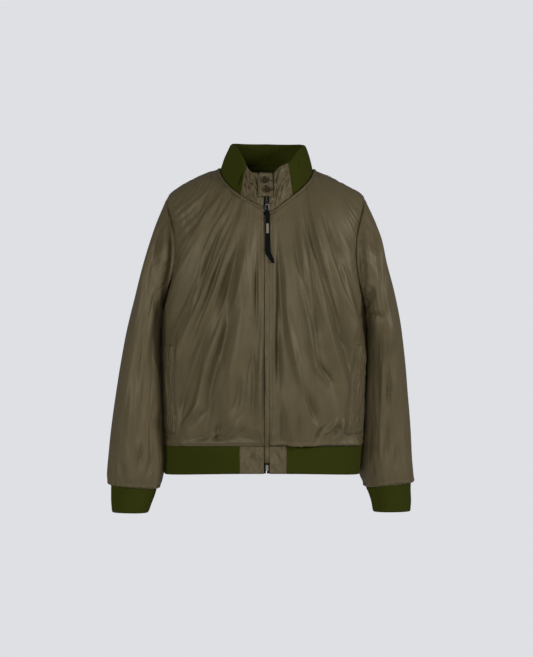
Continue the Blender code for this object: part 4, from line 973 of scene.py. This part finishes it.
# Folds of the band's ends, in thousandths of their width and length.
hemEndLook = {
    "right": ((300, 50, 550, 450, 800, 950, -1.8, 100, 100), (620, 20, 850, 300, 950, 600, 1.4, 100, 100),
              (100, 350, 300, 650, 450, 980, 1.4, 100, 100)),
    "left": ((150, 100, 500, 400, 850, 800, -1.6, 100, 100), (100, 550, 400, 750, 700, 980, 1.4, 100, 100)),
    "strength": 1.6, "facets": 0.002, "fade": (0.004,) * 4, "edge": (0.0005, 0.002), "grid": (41, 49),
}
hemEnds = {}
for side, sign in signs.items():
    zipSide = abs(float(angleAtX(float(bodyCut["hem"]), bodyCut["zipEdge"][side] * sign)))
    columns, rows = hemEndLook["grid"]
    points = endBand(hemPoint, side, zipSide, hemCut["endAngle"][side], columns, np.linspace(0, 1, rows))
    down, _, across, after = edgeDistances(points)
    height = foldHeight(across / across[:, -1:], down / down[-1:], hemEndLook[side]) * hemEndLook["strength"]
    height += facetNoise(across / 0.007 + down / 0.016, down / 0.022, 47 + sign) * hemEndLook["facets"]
    height *= edgeFade(points, hemEndLook["fade"])
    height = clearOfSeam(height, (after if side == "left" else across) * 1.5)
    hemEnds[side] = lifted(points, height + seamEdge((across, after, down), *hemEndLook["edge"]))
    turned = withAllowance(hemEnds[side], ("top",))
    makeSheet("hem_end_" + side + "_cloth", "hem_end_" + side, turned, "nylon",
              {"flat": hemCut["endFlat"][side]})
print("hem made")

# Standing collar: rib knit round the neck, nylon ends in front. Folds in thousandths of its run and height.
collarCut = {
    "top": (
        (-180, 0.0605), (-120, 0.059), (-90, 0.055), (-68, 0.053), (-60, 0.046), (-50, 0.0335),
        (-37, 0.0138), (-33, -0.0005), (-25, -0.0115), (-12, -0.0125), (0, -0.0135), (8, -0.0146),
        (14, -0.009), (19, 0.001), (29, 0.006), (34, 0.0085), (45, 0.0245), (55, 0.0359),
        (67, 0.045), (78, 0.05), (90, 0.0525), (120, 0.057), (180, 0.0605),
    ),
    "right": 0.0735, "left": 0.0805, "front": 0.085, "back": 0.062, "bulge": 0.0015,
    "ribAngle": 34.0, "endAngle": 3.2, "ribs": 136, "rows": 22, "deep": 0.015,
    "flat": (0.41, 0.098), "area": 0.0335, "ends": {"flat": (0.06, 0.085), "area": 0.0041},
    "folds": (
        (75, 100, 80, 350, 70, 700, -2.2, 10, 6), (925, 150, 920, 400, 930, 750, -2.6, 6, 10),
        (983, 250, 981, 600, 970, 990, -8.5, 6.2, 5.2), (300, 100, 330, 400, 320, 800, 1.4, 20, 20),
        (620, 100, 640, 450, 660, 800, -1.4, 20, 20),
    ),
    "endGrid": 61, "facets": 0.004, "fade": (0.003, 0.004, 0.004, 0.004), "edge": (0.0004, 0.002),
    "besideTab": (0.004, 0.0008, 0.0022), "underTab": (0.0014, 0.0006, 0.0014),
}
tabCut = {
    "angles": (-11.2, 8.4), "heights": (-0.0132, -0.0628), "columns": 49, "rows": 61, "rise": 0.0016,
    "facets": 0.0015, "fade": (0.003,) * 4, "edge": (0.0007, 0.0013),
    "groove": (0.0005, 0.0022, 0.0008), "standOff": (0.0018, 0.0014, 0.009), "flat": (0.031, 0.051),
}


def collarTop(angle):
    angle = (np.asarray(angle, float) + 180) % 360 - 180
    table = np.array(collarCut["top"])
    return sum(np.interp(angle + d, table[:, 0], table[:, 1]) for d in (-3, -1.5, 0, 1.5, 3)) / 5


def collarPoint(angle, v):
    angle, v = np.broadcast_arrays(np.asarray(angle, float), np.asarray(v, float))
    base = bodyPoint(np.zeros_like(angle), angle) + np.array([0, 0, seams["neck"]])
    s, c, x, y = squaredOval(angle, collarCut, 2)
    top = np.stack([x, y, collarTop(angle)], axis=-1)
    out = np.stack([s, -c, np.zeros_like(s)], axis=-1)
    bulge = collarCut["bulge"] * np.sin(math.pi * v)
    return base + (top - base) * v[..., None] + out * bulge[..., None]


def collarAtHeight(angle, z):
    low = collarPoint(angle, np.zeros_like(angle))[..., 2]
    high = collarPoint(angle, np.ones_like(angle))[..., 2]
    return collarPoint(angle, (z - low) / (high - low))


points = ribBand(collarPoint, collarCut["ribAngle"], 360 - collarCut["ribAngle"], collarCut["ribs"],
                 np.linspace(1, 0, collarCut["rows"] + 1))
height = knitHeight(points, collarCut["ribs"], (0.004, 0.003), collarCut["folds"], 41)
height -= knit["turned"] * bellCurve(runLengths(points, 0), knit["turnedReach"])
# its lower allowance is deep, and covers the back's neck seam on the inside
turned = withAllowance(lifted(points, height), ("bottom",), length=collarCut["deep"], depth=knit["allowance"])
turned = withAllowance(turned, ("first", "last"), depth=knit["allowance"])
makeSheet("collar_knit", "collar_rib", turned, "rib", collarCut, 1)

collarEnds = {}
for side, sign in signs.items():
    points = endBand(collarPoint, side, collarCut["endAngle"], collarCut["ribAngle"], collarCut["endGrid"],
                     np.linspace(1, 0, collarCut["endGrid"]))
    down, _, across, after = edgeDistances(points)
    height = facetNoise(across / 0.0055 + down / 0.014 * sign, down / 0.011, 43) * collarCut["facets"]
    height *= edgeFade(points, collarCut["fade"])
    height = clearOfSeam(height, (after if side == "left" else across) * 2)
    height += seamEdge((across, after, down), *collarCut["edge"])
    # the cloth is pressed down round the tab that is buttoned over it
    edge = collarCut["front"] * math.sin(math.radians(tabCut["angles"][sign > 0]))
    beside, above = (points[..., 0] - edge) * sign, points[..., 2] - tabCut["heights"][1]
    deep, away, wide = collarCut["besideTab"]
    height -= deep * bellCurve(beside - away, wide) * smoothStep((above + 0.003) / 0.003)
    deep, away, wide = collarCut["underTab"]
    height -= deep * bellCurve(above + away, wide) * smoothStep((0.001 - beside) / 0.002)
    collarEnds[side] = lifted(points, height)
    turned = withAllowance(collarEnds[side], ("bottom",))
    makeSheet("collar_end_" + side + "_cloth", "collar_end_" + side, turned, "nylon", collarCut["ends"])

# The buttoned tab over both collar ends.
angles = np.linspace(*tabCut["angles"], tabCut["columns"])
heights = np.linspace(*tabCut["heights"], tabCut["rows"])
tab = collarAtHeight(*np.meshgrid(angles, heights))
tab = lifted(tab, seams["lay"] + tabCut["rise"])
down, below, across, after = edgeDistances(tab)
tabHeight = facetNoise(across / 0.007 + down / 0.03, down / 0.012, 45) * tabCut["facets"]
tabHeight *= edgeFade(tab, tabCut["fade"])
tabHeight += seamEdge((across, after, down, below), *tabCut["edge"])
deep, inside, wide = tabCut["groove"]
tabHeight += seamEdge([distance - inside for distance in (across, after, down, below)], deep, wide)
# its first edge and its lower edge stand off a little and throw a shadow
first, lower, reach = tabCut["standOff"]
tabHeight += first * smoothStep(1 - across / reach) + lower * smoothStep(1 - below / reach)
tab = lifted(tab, tabHeight)
makeSheet("collar_tab_cloth", "collar_tab", tab, "nylon", tabCut)

# The binding along the neck seam, a narrow turned strip that stands up like a piping.
bindingCut = {"span": (0.06, 0.4), "steps": 8, "rise": 0.0017, "lay": 0.0002, "flat": (0.62, 0.01),
              "area": 0.0046}
binding = []
leftSide, rightSide = frontGrid("left"), frontGrid("right")
for panel, columns in ((leftSide, slice(0, -1)), (back, slice(None)), (rightSide, slice(1, None))):
    normal, low = gridNormals(panel), bodyCut["bindingRow"]
    top, bottom = panel[0, columns], panel[low, columns]
    out = unit(normal[0, columns] + normal[low, columns])
    rows = []
    for share in np.linspace(0, 1, bindingCut["steps"] + 1):
        rise = seams["binding"] + bindingCut["lay"] + bindingCut["rise"] * np.sin(math.pi * share) ** 0.8
        rows.append(top + (bottom - top) * np.interp(share, (0, 1), bindingCut["span"]) + out * rise)
    binding.append(np.stack(rows))
makeSheet("neck_binding_cloth", "neck_binding", np.concatenate(binding, axis=1), "trim", bindingCut, 1)
print("collar made")

# Pocket welts lie on the fronts, on the cloth's own points, three columns to one of theirs.
weltCut = {"rise": 0.0012, "finer": 3, "soft": 0.0012, "fade": (0.004,) * 4, "edge": (0.0012, 0.0016),
           "grooves": (0.0026, 0.0066, 0.0215), "groove": (0.0023, 0.0012), "step": 0.0012,
           "flat": (0.055, 0.205), "area": 0.011}
welts = {}
for side in signs:
    top, bottom = (armEnd + row for row in bodyCut["pocketRows"])
    wide = bodyCut["pocketColumns"]
    first = bodyCut["frontColumns"] if side == "left" else bodyCut["sideColumns"] - wide
    part = lifted(fronts[side], seams["lay"] + weltCut["rise"])[top:bottom + 1, first:first + wide + 1]
    part = splineRows(part.swapaxes(0, 1), np.linspace(0, wide, wide * weltCut["finer"] + 1)).swapaxes(0, 1)
    down, below, across, after = edgeDistances(part)
    height = softNoise(across / 0.007, down / 0.012, 51) * weltCut["soft"] * edgeFade(part, weltCut["fade"])
    height += seamEdge((across, after, down, below), *weltCut["edge"])
    inner = across if side == "left" else after
    height += seamEdge([inner - place for place in weltCut["grooves"]], *weltCut["groove"])
    height -= weltCut["step"] * smoothStep((inner - weltCut["grooves"][-1]) / 0.002)
    welts[side] = lifted(part, height)
    makeSheet("pocket_welt_" + side + "_cloth", "pocket_welt_" + side, welts[side], "trim", weltCut)
print("pockets made")

# The middle of the front: the fly strip over the zip and the two tapes under it.
tapeCut = {"edges": (0.0009, 0.012), "columns": 6, "sunk": 0.0016, "end": 0.985, "flat": (0.0115, 0.6)}
flyCut = {"edges": (-0.004, 0.006), "columns": 17, "heights": (-0.1, -0.61), "rise": 0.001,
          "soft": 0.0004, "flat": (0.01, 0.51)}


def centreProfile():
    # z, depth, half width and squareness of the front's middle, from the hem up
    rows = []
    for v in (0.7, 0.45, 0.2):
        place = collarPoint(0.0, v)
        rows.append((place[2], -place[1] - seams["lay"] * 2, collarCut["right"], 2.0))
    for t in panelRows():
        ring = bodySizes(t)
        rows.append((ring["zFront"], ring["front"], ring["right"], ring["square"]))
    for v in (0.3, 0.6, 0.9):
        place = hemPoint(0.0, v)
        rows.append((place[2], -place[1], hemCut["right"], bodyCut["rings"][bodyCut["hem"]][-1]))
    return np.array(rows, dtype=float)[::-1]


def centrePoints(xValues, zValues, lift):
    table = centreProfile()
    x, z = np.meshgrid(np.asarray(xValues, float), np.asarray(zValues, float))
    depth, width, square = (np.interp(z, table[:, 0], table[:, i]) for i in (1, 2, 3))
    y = -depth * (1 - (np.abs(x) / width) ** square) ** (1 / square)
    return lifted(np.stack([x, y, z], axis=-1), lift)


heights = centreProfile()[::-1, 0]
low = hemPoint(0.0, tapeCut["end"])[2]
for side, sign in signs.items():
    edges = sorted(edge * sign for edge in tapeCut["edges"])
    points = centrePoints(np.linspace(*edges, tapeCut["columns"]), np.append(heights, low),
                          -tapeCut["sunk"] - seams["lay"])
    makeSheet("zip_tape_" + side + "_weave", "zip_tape_" + side, points, "tape", tapeCut)
top, bottom = flyCut["heights"]
heights = heights[(heights < top) & (heights > bottom)]
fly = centrePoints(np.linspace(*flyCut["edges"], flyCut["columns"]), heights, 0)
down, _, across, _ = edgeDistances(fly)
flyHeight = flyCut["rise"] * np.sin(math.pi * across / across[:, -1:])
fly = lifted(fly, flyHeight + softNoise(across / 0.008, down / 0.03, 61) * flyCut["soft"])
makeSheet("fly_strip_cloth", "fly_strip", fly, "nylon", flyCut)
print("zip tapes and fly made")

# Hard trim that keeps its CAD shape.
for name, look in (("zip_slider", "slider"), ("zip_box", "metal"), ("pull_ring", "metal")):
    for place in frame["nodes"][name].material_slots:
        place.material = finish[look]

# The strap hangs from the ring, with a bare label sewn on it. Rows: down, half width, to +X, off the cloth.
pullCut = {
    "rows": (
        (0.0000, 0.002, 0.0000, 0.0036), (0.0045, 0.0042, 0.0002, 0.0034), (0.014, 0.0045, 0.0006, 0.0028),
        (0.027, 0.0047, 0.0008, 0.0018), (0.037, 0.0049, 0.0009, 0.0014), (0.047, 0.005, 0.001, 0.0012),
        (0.062, 0.0053, 0.0011, 0.0012), (0.077, 0.0057, 0.0012, 0.0012), (0.088, 0.0059, 0.0024, 0.0016),
        (0.099, 0.0046, 0.0082, 0.0022), (0.108, 0.0032, 0.0126, 0.0028),
    ),
    "hinge": (0.0012, -0.10649, -0.07894), "ring": 0.0135, "rise": 0.0008, "gap": 0.00125, "finer": 5,
    "back": (0.008, 0.004), "edge": 0.00016, "edgeReach": 0.16, "flat": (0.011, 0.124), "area": 0.00128,
}
labelCut = {"rows": (3, 5), "half": 0.0026, "rise": 0.0008, "flat": (0.01, 0.02), "area": 0.000116}


def frontPlace(z, lift):
    strip = centrePoints((-0.001, 0.001), (z + 0.004, z, z - 0.004), lift)
    return strip.mean(axis=1)[1]


def strapPath():
    # from the folded end behind the ring's bar, round the bar and down to the tip
    hinge, gap, rows = pullCut["hinge"], pullCut["gap"], pullCut["rows"]
    front = [frontPlace(hinge[2] - pullCut["ring"] - row[0], row[3]) for row in rows]
    front = np.array([(hinge[0] + row[2], place[1], place[2]) for row, place in zip(rows, front)])
    inward = np.array([0, gap, 0])
    bar = front[0] + inward
    below = unit(front[1] - front[0])
    path = [bar + inward + below * share for share in pullCut["back"]]
    for turn in np.linspace(0, math.pi, 9):
        path.append(bar + inward * math.cos(turn) - below * gap * math.sin(turn))
    halves = [rows[0][1]] * len(path) + [row[1] for row in rows[1:]]
    return np.concatenate([np.array(path), front[1:]]), halves


def widened(path, halves):
    # a line made a strip, the given half widths to each side in x
    shares = np.linspace(-1, 1, 13)
    return path[:, None] + np.array([1, 0, 0]) * (np.reshape(halves, (-1, 1)) * shares)[..., None]


path, halves = strapPath()
finer = pullCut["finer"]
t = np.linspace(0, len(path) - 1, (len(path) - 1) * finer + 1)
strap = widened(splineRows(path, t), splineRows(halves, t))
# woven edges are a little thicker than the middle
normal = gridNormals(strap)
normal *= np.sign(normal[len(normal) // 2, 6].dot((0, -1, 0)))
edge = pullCut["edge"] * bellCurve(1 - np.abs(np.linspace(-1, 1, 13)), pullCut["edgeReach"])
strap = strap + normal * (pullCut["rise"] + edge)[None, :, None]
makeSheet("pull_strap_webbing", "pull_strap", strap, "strap", pullCut, body="zip_pull", held="hung")

first = len(t) - 1 - (len(pullCut["rows"]) - 1) * finer
chosen = strap[first + labelCut["rows"][0] * finer:first + labelCut["rows"][1] * finer + 1, 6]
label = widened(chosen, [labelCut["half"]] * len(chosen))[:, ::2] - np.array([0, labelCut["rise"], 0])
makeSheet("pull_label_weave", "pull_label", label, "label", labelCut, body="zip_pull")
print("pull made")

# Buttons: a dished face in a rounded rim, four holes and crossed thread; a buttonhole beside each.
buttonCut = {
    "places": {"button_upper": (-0.0034, -0.029), "button_lower": (0.0002, -0.0476)},
    "radius": 0.0078, "thick": 0.003, "rim": 0.0019, "dish": 0.0007, "hole": 0.00085, "holeAt": 0.0015,
    "round": 0.0004, "sag": 0.0004, "seat": 0.0003, "sides": 48, "thread": 0.00042, "reach": 1.15,
    "slit": (0.0058, 0.015, 0.00065), "slitRows": ((-0.0016, -0.0002), (0.0002, 0.0016)),
    "slitLevel": -0.0017, "slitThread": 0.00028, "slant": 0.0002, "over": 0.0002,
}


def buttonFrame(x, z):
    angle = math.degrees(math.asin(x / collarCut["front"]))
    grid = np.meshgrid(angle + np.array([-2.0, 0.0, 2.0]), z + np.array([0.004, 0.0, -0.004]))
    patch = collarAtHeight(*grid)
    patch = lifted(patch, seams["lay"] + tabCut["rise"] + buttonCut["seat"] + buttonCut["sag"])
    out = gridNormals(patch)[1, 1]
    turn = Vector((0, 0, 1)).rotation_difference(Vector(out)).to_matrix().to_4x4()
    turn.translation = patch[1, 1] + out * buttonCut["thick"] / 2
    return turn


def addCylinder(vertices, radius, depth, x=0.0, y=0.0):
    bpy.ops.object.select_all(action="DESELECT")
    bpy.ops.mesh.primitive_cylinder_add(vertices=vertices, radius=radius, depth=depth, location=(x, y, 0))
    return bpy.context.active_object


def modified(item, name, kind, **settings):
    bpy.context.view_layer.objects.active = item
    modifier = item.modifiers.new(name, kind)
    for label, value in settings.items():
        setattr(modifier, label, value)
    bpy.ops.object.modifier_apply(modifier=name)


def makeButton(name, place):
    item = addCylinder(buttonCut["sides"], buttonCut["radius"], buttonCut["thick"])
    item.name = name + "_resin"
    bpy.ops.object.mode_set(mode="EDIT")
    bpy.ops.mesh.select_mode(type="FACE")
    bpy.ops.mesh.select_all(action="DESELECT")
    bpy.ops.object.mode_set(mode="OBJECT")
    for face in item.data.polygons:
        face.select = face.normal.z > 0.9
    bpy.ops.object.mode_set(mode="EDIT")
    bpy.ops.mesh.inset(thickness=buttonCut["rim"] * 0.55)
    bpy.ops.mesh.inset(thickness=buttonCut["rim"] * 0.45)
    bpy.ops.transform.translate(value=(0, 0, -buttonCut["dish"]))
    bpy.ops.object.mode_set(mode="OBJECT")
    modified(item, "Round", "BEVEL", width=buttonCut["round"], segments=3)
    at = buttonCut["holeAt"]
    for x, y in ((-at, -at), (-at, at), (at, -at), (at, at)):
        drill = addCylinder(16, buttonCut["hole"], 0.01, x, y)
        modified(item, "Hole", "BOOLEAN", object=drill)
        bpy.data.objects.remove(drill, do_unlink=True)
    item.data.transform(place)
    item.data.materials.clear()
    item.data.materials.append(finish["resin"])
    bpy.ops.object.select_all(action="DESELECT")
    item.select_set(True)
    bpy.context.view_layer.objects.active = item
    bpy.ops.object.shade_smooth_by_angle(angle=math.radians(40))
    return item


def manySolids(name, points, faces, look):
    # one mesh of many like solids: the points of each, and the faces of one
    size = points.shape[1]
    allFaces = [tuple(v + size * k for v in face) for k in range(len(points)) for face in faces]
    mesh = bpy.data.meshes.new(name)
    mesh.from_pydata(points.reshape(-1, 3).tolist(), [], allFaces)
    bm = bmesh.new()
    bm.from_mesh(mesh)
    bmesh.ops.recalc_face_normals(bm, faces=bm.faces)
    bm.to_mesh(mesh)
    bm.free()
    return addItem(name, mesh, look)


def wearThreads(name, starts, ends, outs, radius, look, wide=1.0):
    # small threads: six-sided, pointed at both ends, many in one piece
    starts, ends, outs = (np.asarray(part, float) for part in (starts, ends, outs))
    way = unit(ends - starts)
    side = unit(np.cross(way, outs))
    outs = np.cross(side, way)
    points = [starts]
    for share in (0.16, 0.84):
        for turn in np.arange(6) * math.pi / 3:
            spoke = (side * math.cos(turn) * wide + outs * math.sin(turn)) * radius
            points.append(starts + (ends - starts) * share + spoke)
    points.append(ends)
    faces = []
    for i in range(6):
        j = (i + 1) % 6
        faces += [(0, 1 + i, 1 + j), (1 + i, 7 + i, 7 + j, 1 + j), (13, 7 + j, 7 + i)]
    item = manySolids(name, np.stack(points, axis=1), faces, finish[look])
    item.data.shade_smooth()
    wear(item, [], "nylon")


for name, (x, z) in buttonCut["places"].items():
    place = buttonFrame(x, z)
    wear(makeButton(name, place), [name], "resin")
    far = buttonCut["holeAt"] * buttonCut["reach"]
    level = buttonCut["thick"] / 2 - buttonCut["dish"] + buttonCut["over"]
    higher = level + buttonCut["over"]
    out = place.to_3x3() @ Vector((0, 0, 1))
    threads = [((-far, -far, level), (far, far, level)), ((-far, far, higher), (far, -far, higher))]
    # the buttonhole: two rows of close stitches across the slit, in near-black thread that paints the slit's
    # shade
    level = buttonCut["slitLevel"]
    slit = [((across, low, level), (across + buttonCut["slant"], high, level))
            for across in np.arange(*buttonCut["slit"]) for low, high in buttonCut["slitRows"]]
    for label, lines, radius, look in (("_thread", threads, buttonCut["thread"], "thread"),
                                       ("_buttonhole", slit, buttonCut["slitThread"], "darkThread")):
        starts, ends = ([place @ Vector(line[end]) for line in lines] for end in (0, 1))
        wearThreads(name + label, starts, ends, [out] * len(lines), radius, look)
print("buttons made")

# Sewing: lines of lockstitch beside the seams, about 3 mm to a stitch; the thread is the cloth's tone made a
# little darker, as painted shade along the lines.
stitchCut = {"length": 0.0027, "pitch": 0.0035, "radius": 0.0003, "lift": 0.00005, "wide": 1.3}


def alongLine(where, run, values):
    return np.stack([np.interp(where, run, values[:, k]) for k in range(3)], axis=-1)


def besideEdge(points, edge, distance):
    # a line at a distance from an edge of a grid, with its outward directions
    grid, normal = turnedTo(edge, points, gridNormals(points))
    run = runLengths(grid, 0)
    return [np.array([alongLine(distance, run[:, i], part[:, i]) for i in range(grid.shape[1])])
            for part in (grid, normal)]


def sew(name, lines, look="thread"):
    stitches = []
    for line, outs in lines:
        run = runLengths(line[None], 1)[0]
        outs = unit(outs)
        places = np.arange(0, run[-1] - stitchCut["length"], stitchCut["pitch"])
        ends = [alongLine(where, run, line) + alongLine(where, run, outs) * stitchCut["lift"]
                for where in (places, places + stitchCut["length"])]
        stitches.append(ends + [alongLine(places, run, outs)])
    wearThreads(name, *(np.concatenate(part) for part in zip(*stitches)), stitchCut["radius"], look,
                stitchCut["wide"])


# Each line: the edge that it follows and its distance from it.
allRound = [(edge, 0.0022) for edge in ("first", "last", "top", "bottom")]
for side in signs:
    outer, inner = ("first", "last") if side == "right" else ("last", "first")
    front = fronts[side]
    lines = [("bottom", 0.005), ("top", 0.006), ("top", 0.0085), (inner, 0.006)]
    armhole = besideEdge(front[armStart:armEnd + 1], outer, 0.0045)
    sew("stitches_front_" + side, [armhole] + [besideEdge(front, *line) for line in lines])
    lines = allRound + [(inner, 0.0056), ("bottom", 0.0042), ("bottom", 0.0062)]
    # the pocket's stitches are near-black thread, painted shade along its seam lines
    sew("stitches_pocket_" + side, [besideEdge(welts[side], *line) for line in lines], "darkThread")
    lines = [(edge, 0.003) for edge in ("top", inner, outer)]
    sew("stitches_collar_end_" + side, [besideEdge(collarEnds[side], *line) for line in lines])
    sew("stitches_hem_end_" + side, [besideEdge(hemEnds[side], *line) for line in (lines[0], lines[2])])
armholes = [besideEdge(back[armStart:armEnd + 1], edge, 0.0045) for edge in ("first", "last")]
sew("stitches_back", armholes + [besideEdge(back, "bottom", 0.005), besideEdge(back, "top", 0.006)])
# the tab's stitches are near-black thread, painted shade round its edges
sew("stitches_tab", [besideEdge(tab, *line) for line in allRound], "darkThread")
sew("stitches_fly", [besideEdge(fly, "first", 0.0012)])
print("sewing made")

# Zip teeth: moulded, in step on the two tapes, from the collar to the box.
teethCut = {"size": (0.0022, 0.0014, 0.0011), "pitch": 0.0022, "off": 0.0009, "lift": -0.0021,
            "from": -0.056, "to": -0.606, "sections": ((-0.5, 0.62), (0.15, 1.0), (0.5, 1.0))}
for side, sign in signs.items():
    shift = teethCut["pitch"] / 2 if side == "left" else 0
    heights = np.arange(teethCut["from"] - shift, teethCut["to"], -teethCut["pitch"])
    middle = centrePoints((-0.001, 0.001), heights, teethCut["lift"]).mean(axis=1)
    middle[:, 0] = teethCut["off"] * sign
    corners = [(x * sign, y, z * narrow) for x, narrow in teethCut["sections"]
               for y, z in ((-0.5, -0.5), (-0.5, 0.5), (0.5, 0.5), (0.5, -0.5))]
    faces = [(0, 1, 2, 3), (11, 10, 9, 8)]
    for k in (0, 4):
        faces += [(k + i, k + 4 + i, k + 4 + (i + 1) % 4, k + (i + 1) % 4) for i in range(4)]
    points = middle[:, None] + np.array(corners)[None] * teethCut["size"]
    wear(manySolids("zip_teeth_" + side, points, faces, finish["slider"]), [], "metal")
print("teeth made")

# Camera at the photograph's angle: level, 4 m away, on the jacket's middle.
cameraSet = {"place": (0, -4.0, -0.333), "lens": 104.35, "sensor": 36}
camera = bpy.data.objects.new("camera", bpy.data.cameras.new("camera"))
camera.data.lens = cameraSet["lens"]
camera.data.sensor_width = cameraSet["sensor"]
camera.location = cameraSet["place"]
camera.rotation_euler = (math.radians(90), 0, 0)
bpy.context.scene.collection.objects.link(camera)
bpy.context.scene.camera = camera

# Soft studio light, a square box each: place, the height that it aims at, size and power.
lightSet = {
    "key": ((3.4, -1.8, 0.7), -0.33, 0.7, 86), "fill": ((-2.6, -3.1, 0.3), -0.33, 0.7, 43),
    "front": ((-0.9, -3.9, 0.1), -0.33, 1.2, 54), "rear": ((0.0, 3.4, 0.1), -0.35, 1.2, 60),
}
for name, (place, aim, size, power) in lightSet.items():
    data = bpy.data.lights.new(name, "AREA")
    data.size = size
    data.energy = power
    lamp = bpy.data.objects.new(name, data)
    lamp.location = place
    lamp.rotation_euler = (Vector((0, 0, aim)) - Vector(place)).to_track_quat("-Z", "Y").to_euler()
    bpy.context.scene.collection.objects.link(lamp)

# The camera sees one even tone, and a dimmer one lights the cloth.
worldSet = {"seen": "#DFE0E4", "ambient": "#E2E1DE", "strength": 0.26}
world = bpy.data.worlds.new("studio")
world.use_nodes = True
bpy.context.scene.world = world
seen = world.node_tree.nodes["Background"]
seen.inputs["Color"].default_value = toLinear(worldSet["seen"])
ambient = addNode(world, "Background", Color=worldSet["ambient"], Strength=worldSet["strength"])
rays = addNode(world, "LightPath")
mix = addNode(world, "MixShader", {0: rays.outputs["Is Camera Ray"], 1: ambient.outputs[0],
                                   2: seen.outputs[0]})
world.node_tree.links.new(mix.outputs[0], world.node_tree.nodes["World Output"].inputs["Surface"])
bpy.context.scene.view_settings.view_transform = "Standard"

# Pale floor, well below the jacket.
floorSet = {"radius": 1.4, "height": -1.3, "colours": ("#D4D5D8", "#DEDFE2")}
bpy.ops.mesh.primitive_circle_add(vertices=96, radius=floorSet["radius"], fill_type="NGON",
                                  location=(0, 0, floorSet["height"]))
floor = bpy.context.active_object
floor.name = "floor"
paint = newMaterial("painted_floor", Roughness=0.7)
grain = addNode(paint, "TexNoise", Scale=6.0, Detail=4.0)
floor.data.materials.append(painted(paint, floorSet["colours"], grain.outputs[0]))
print("studio made")
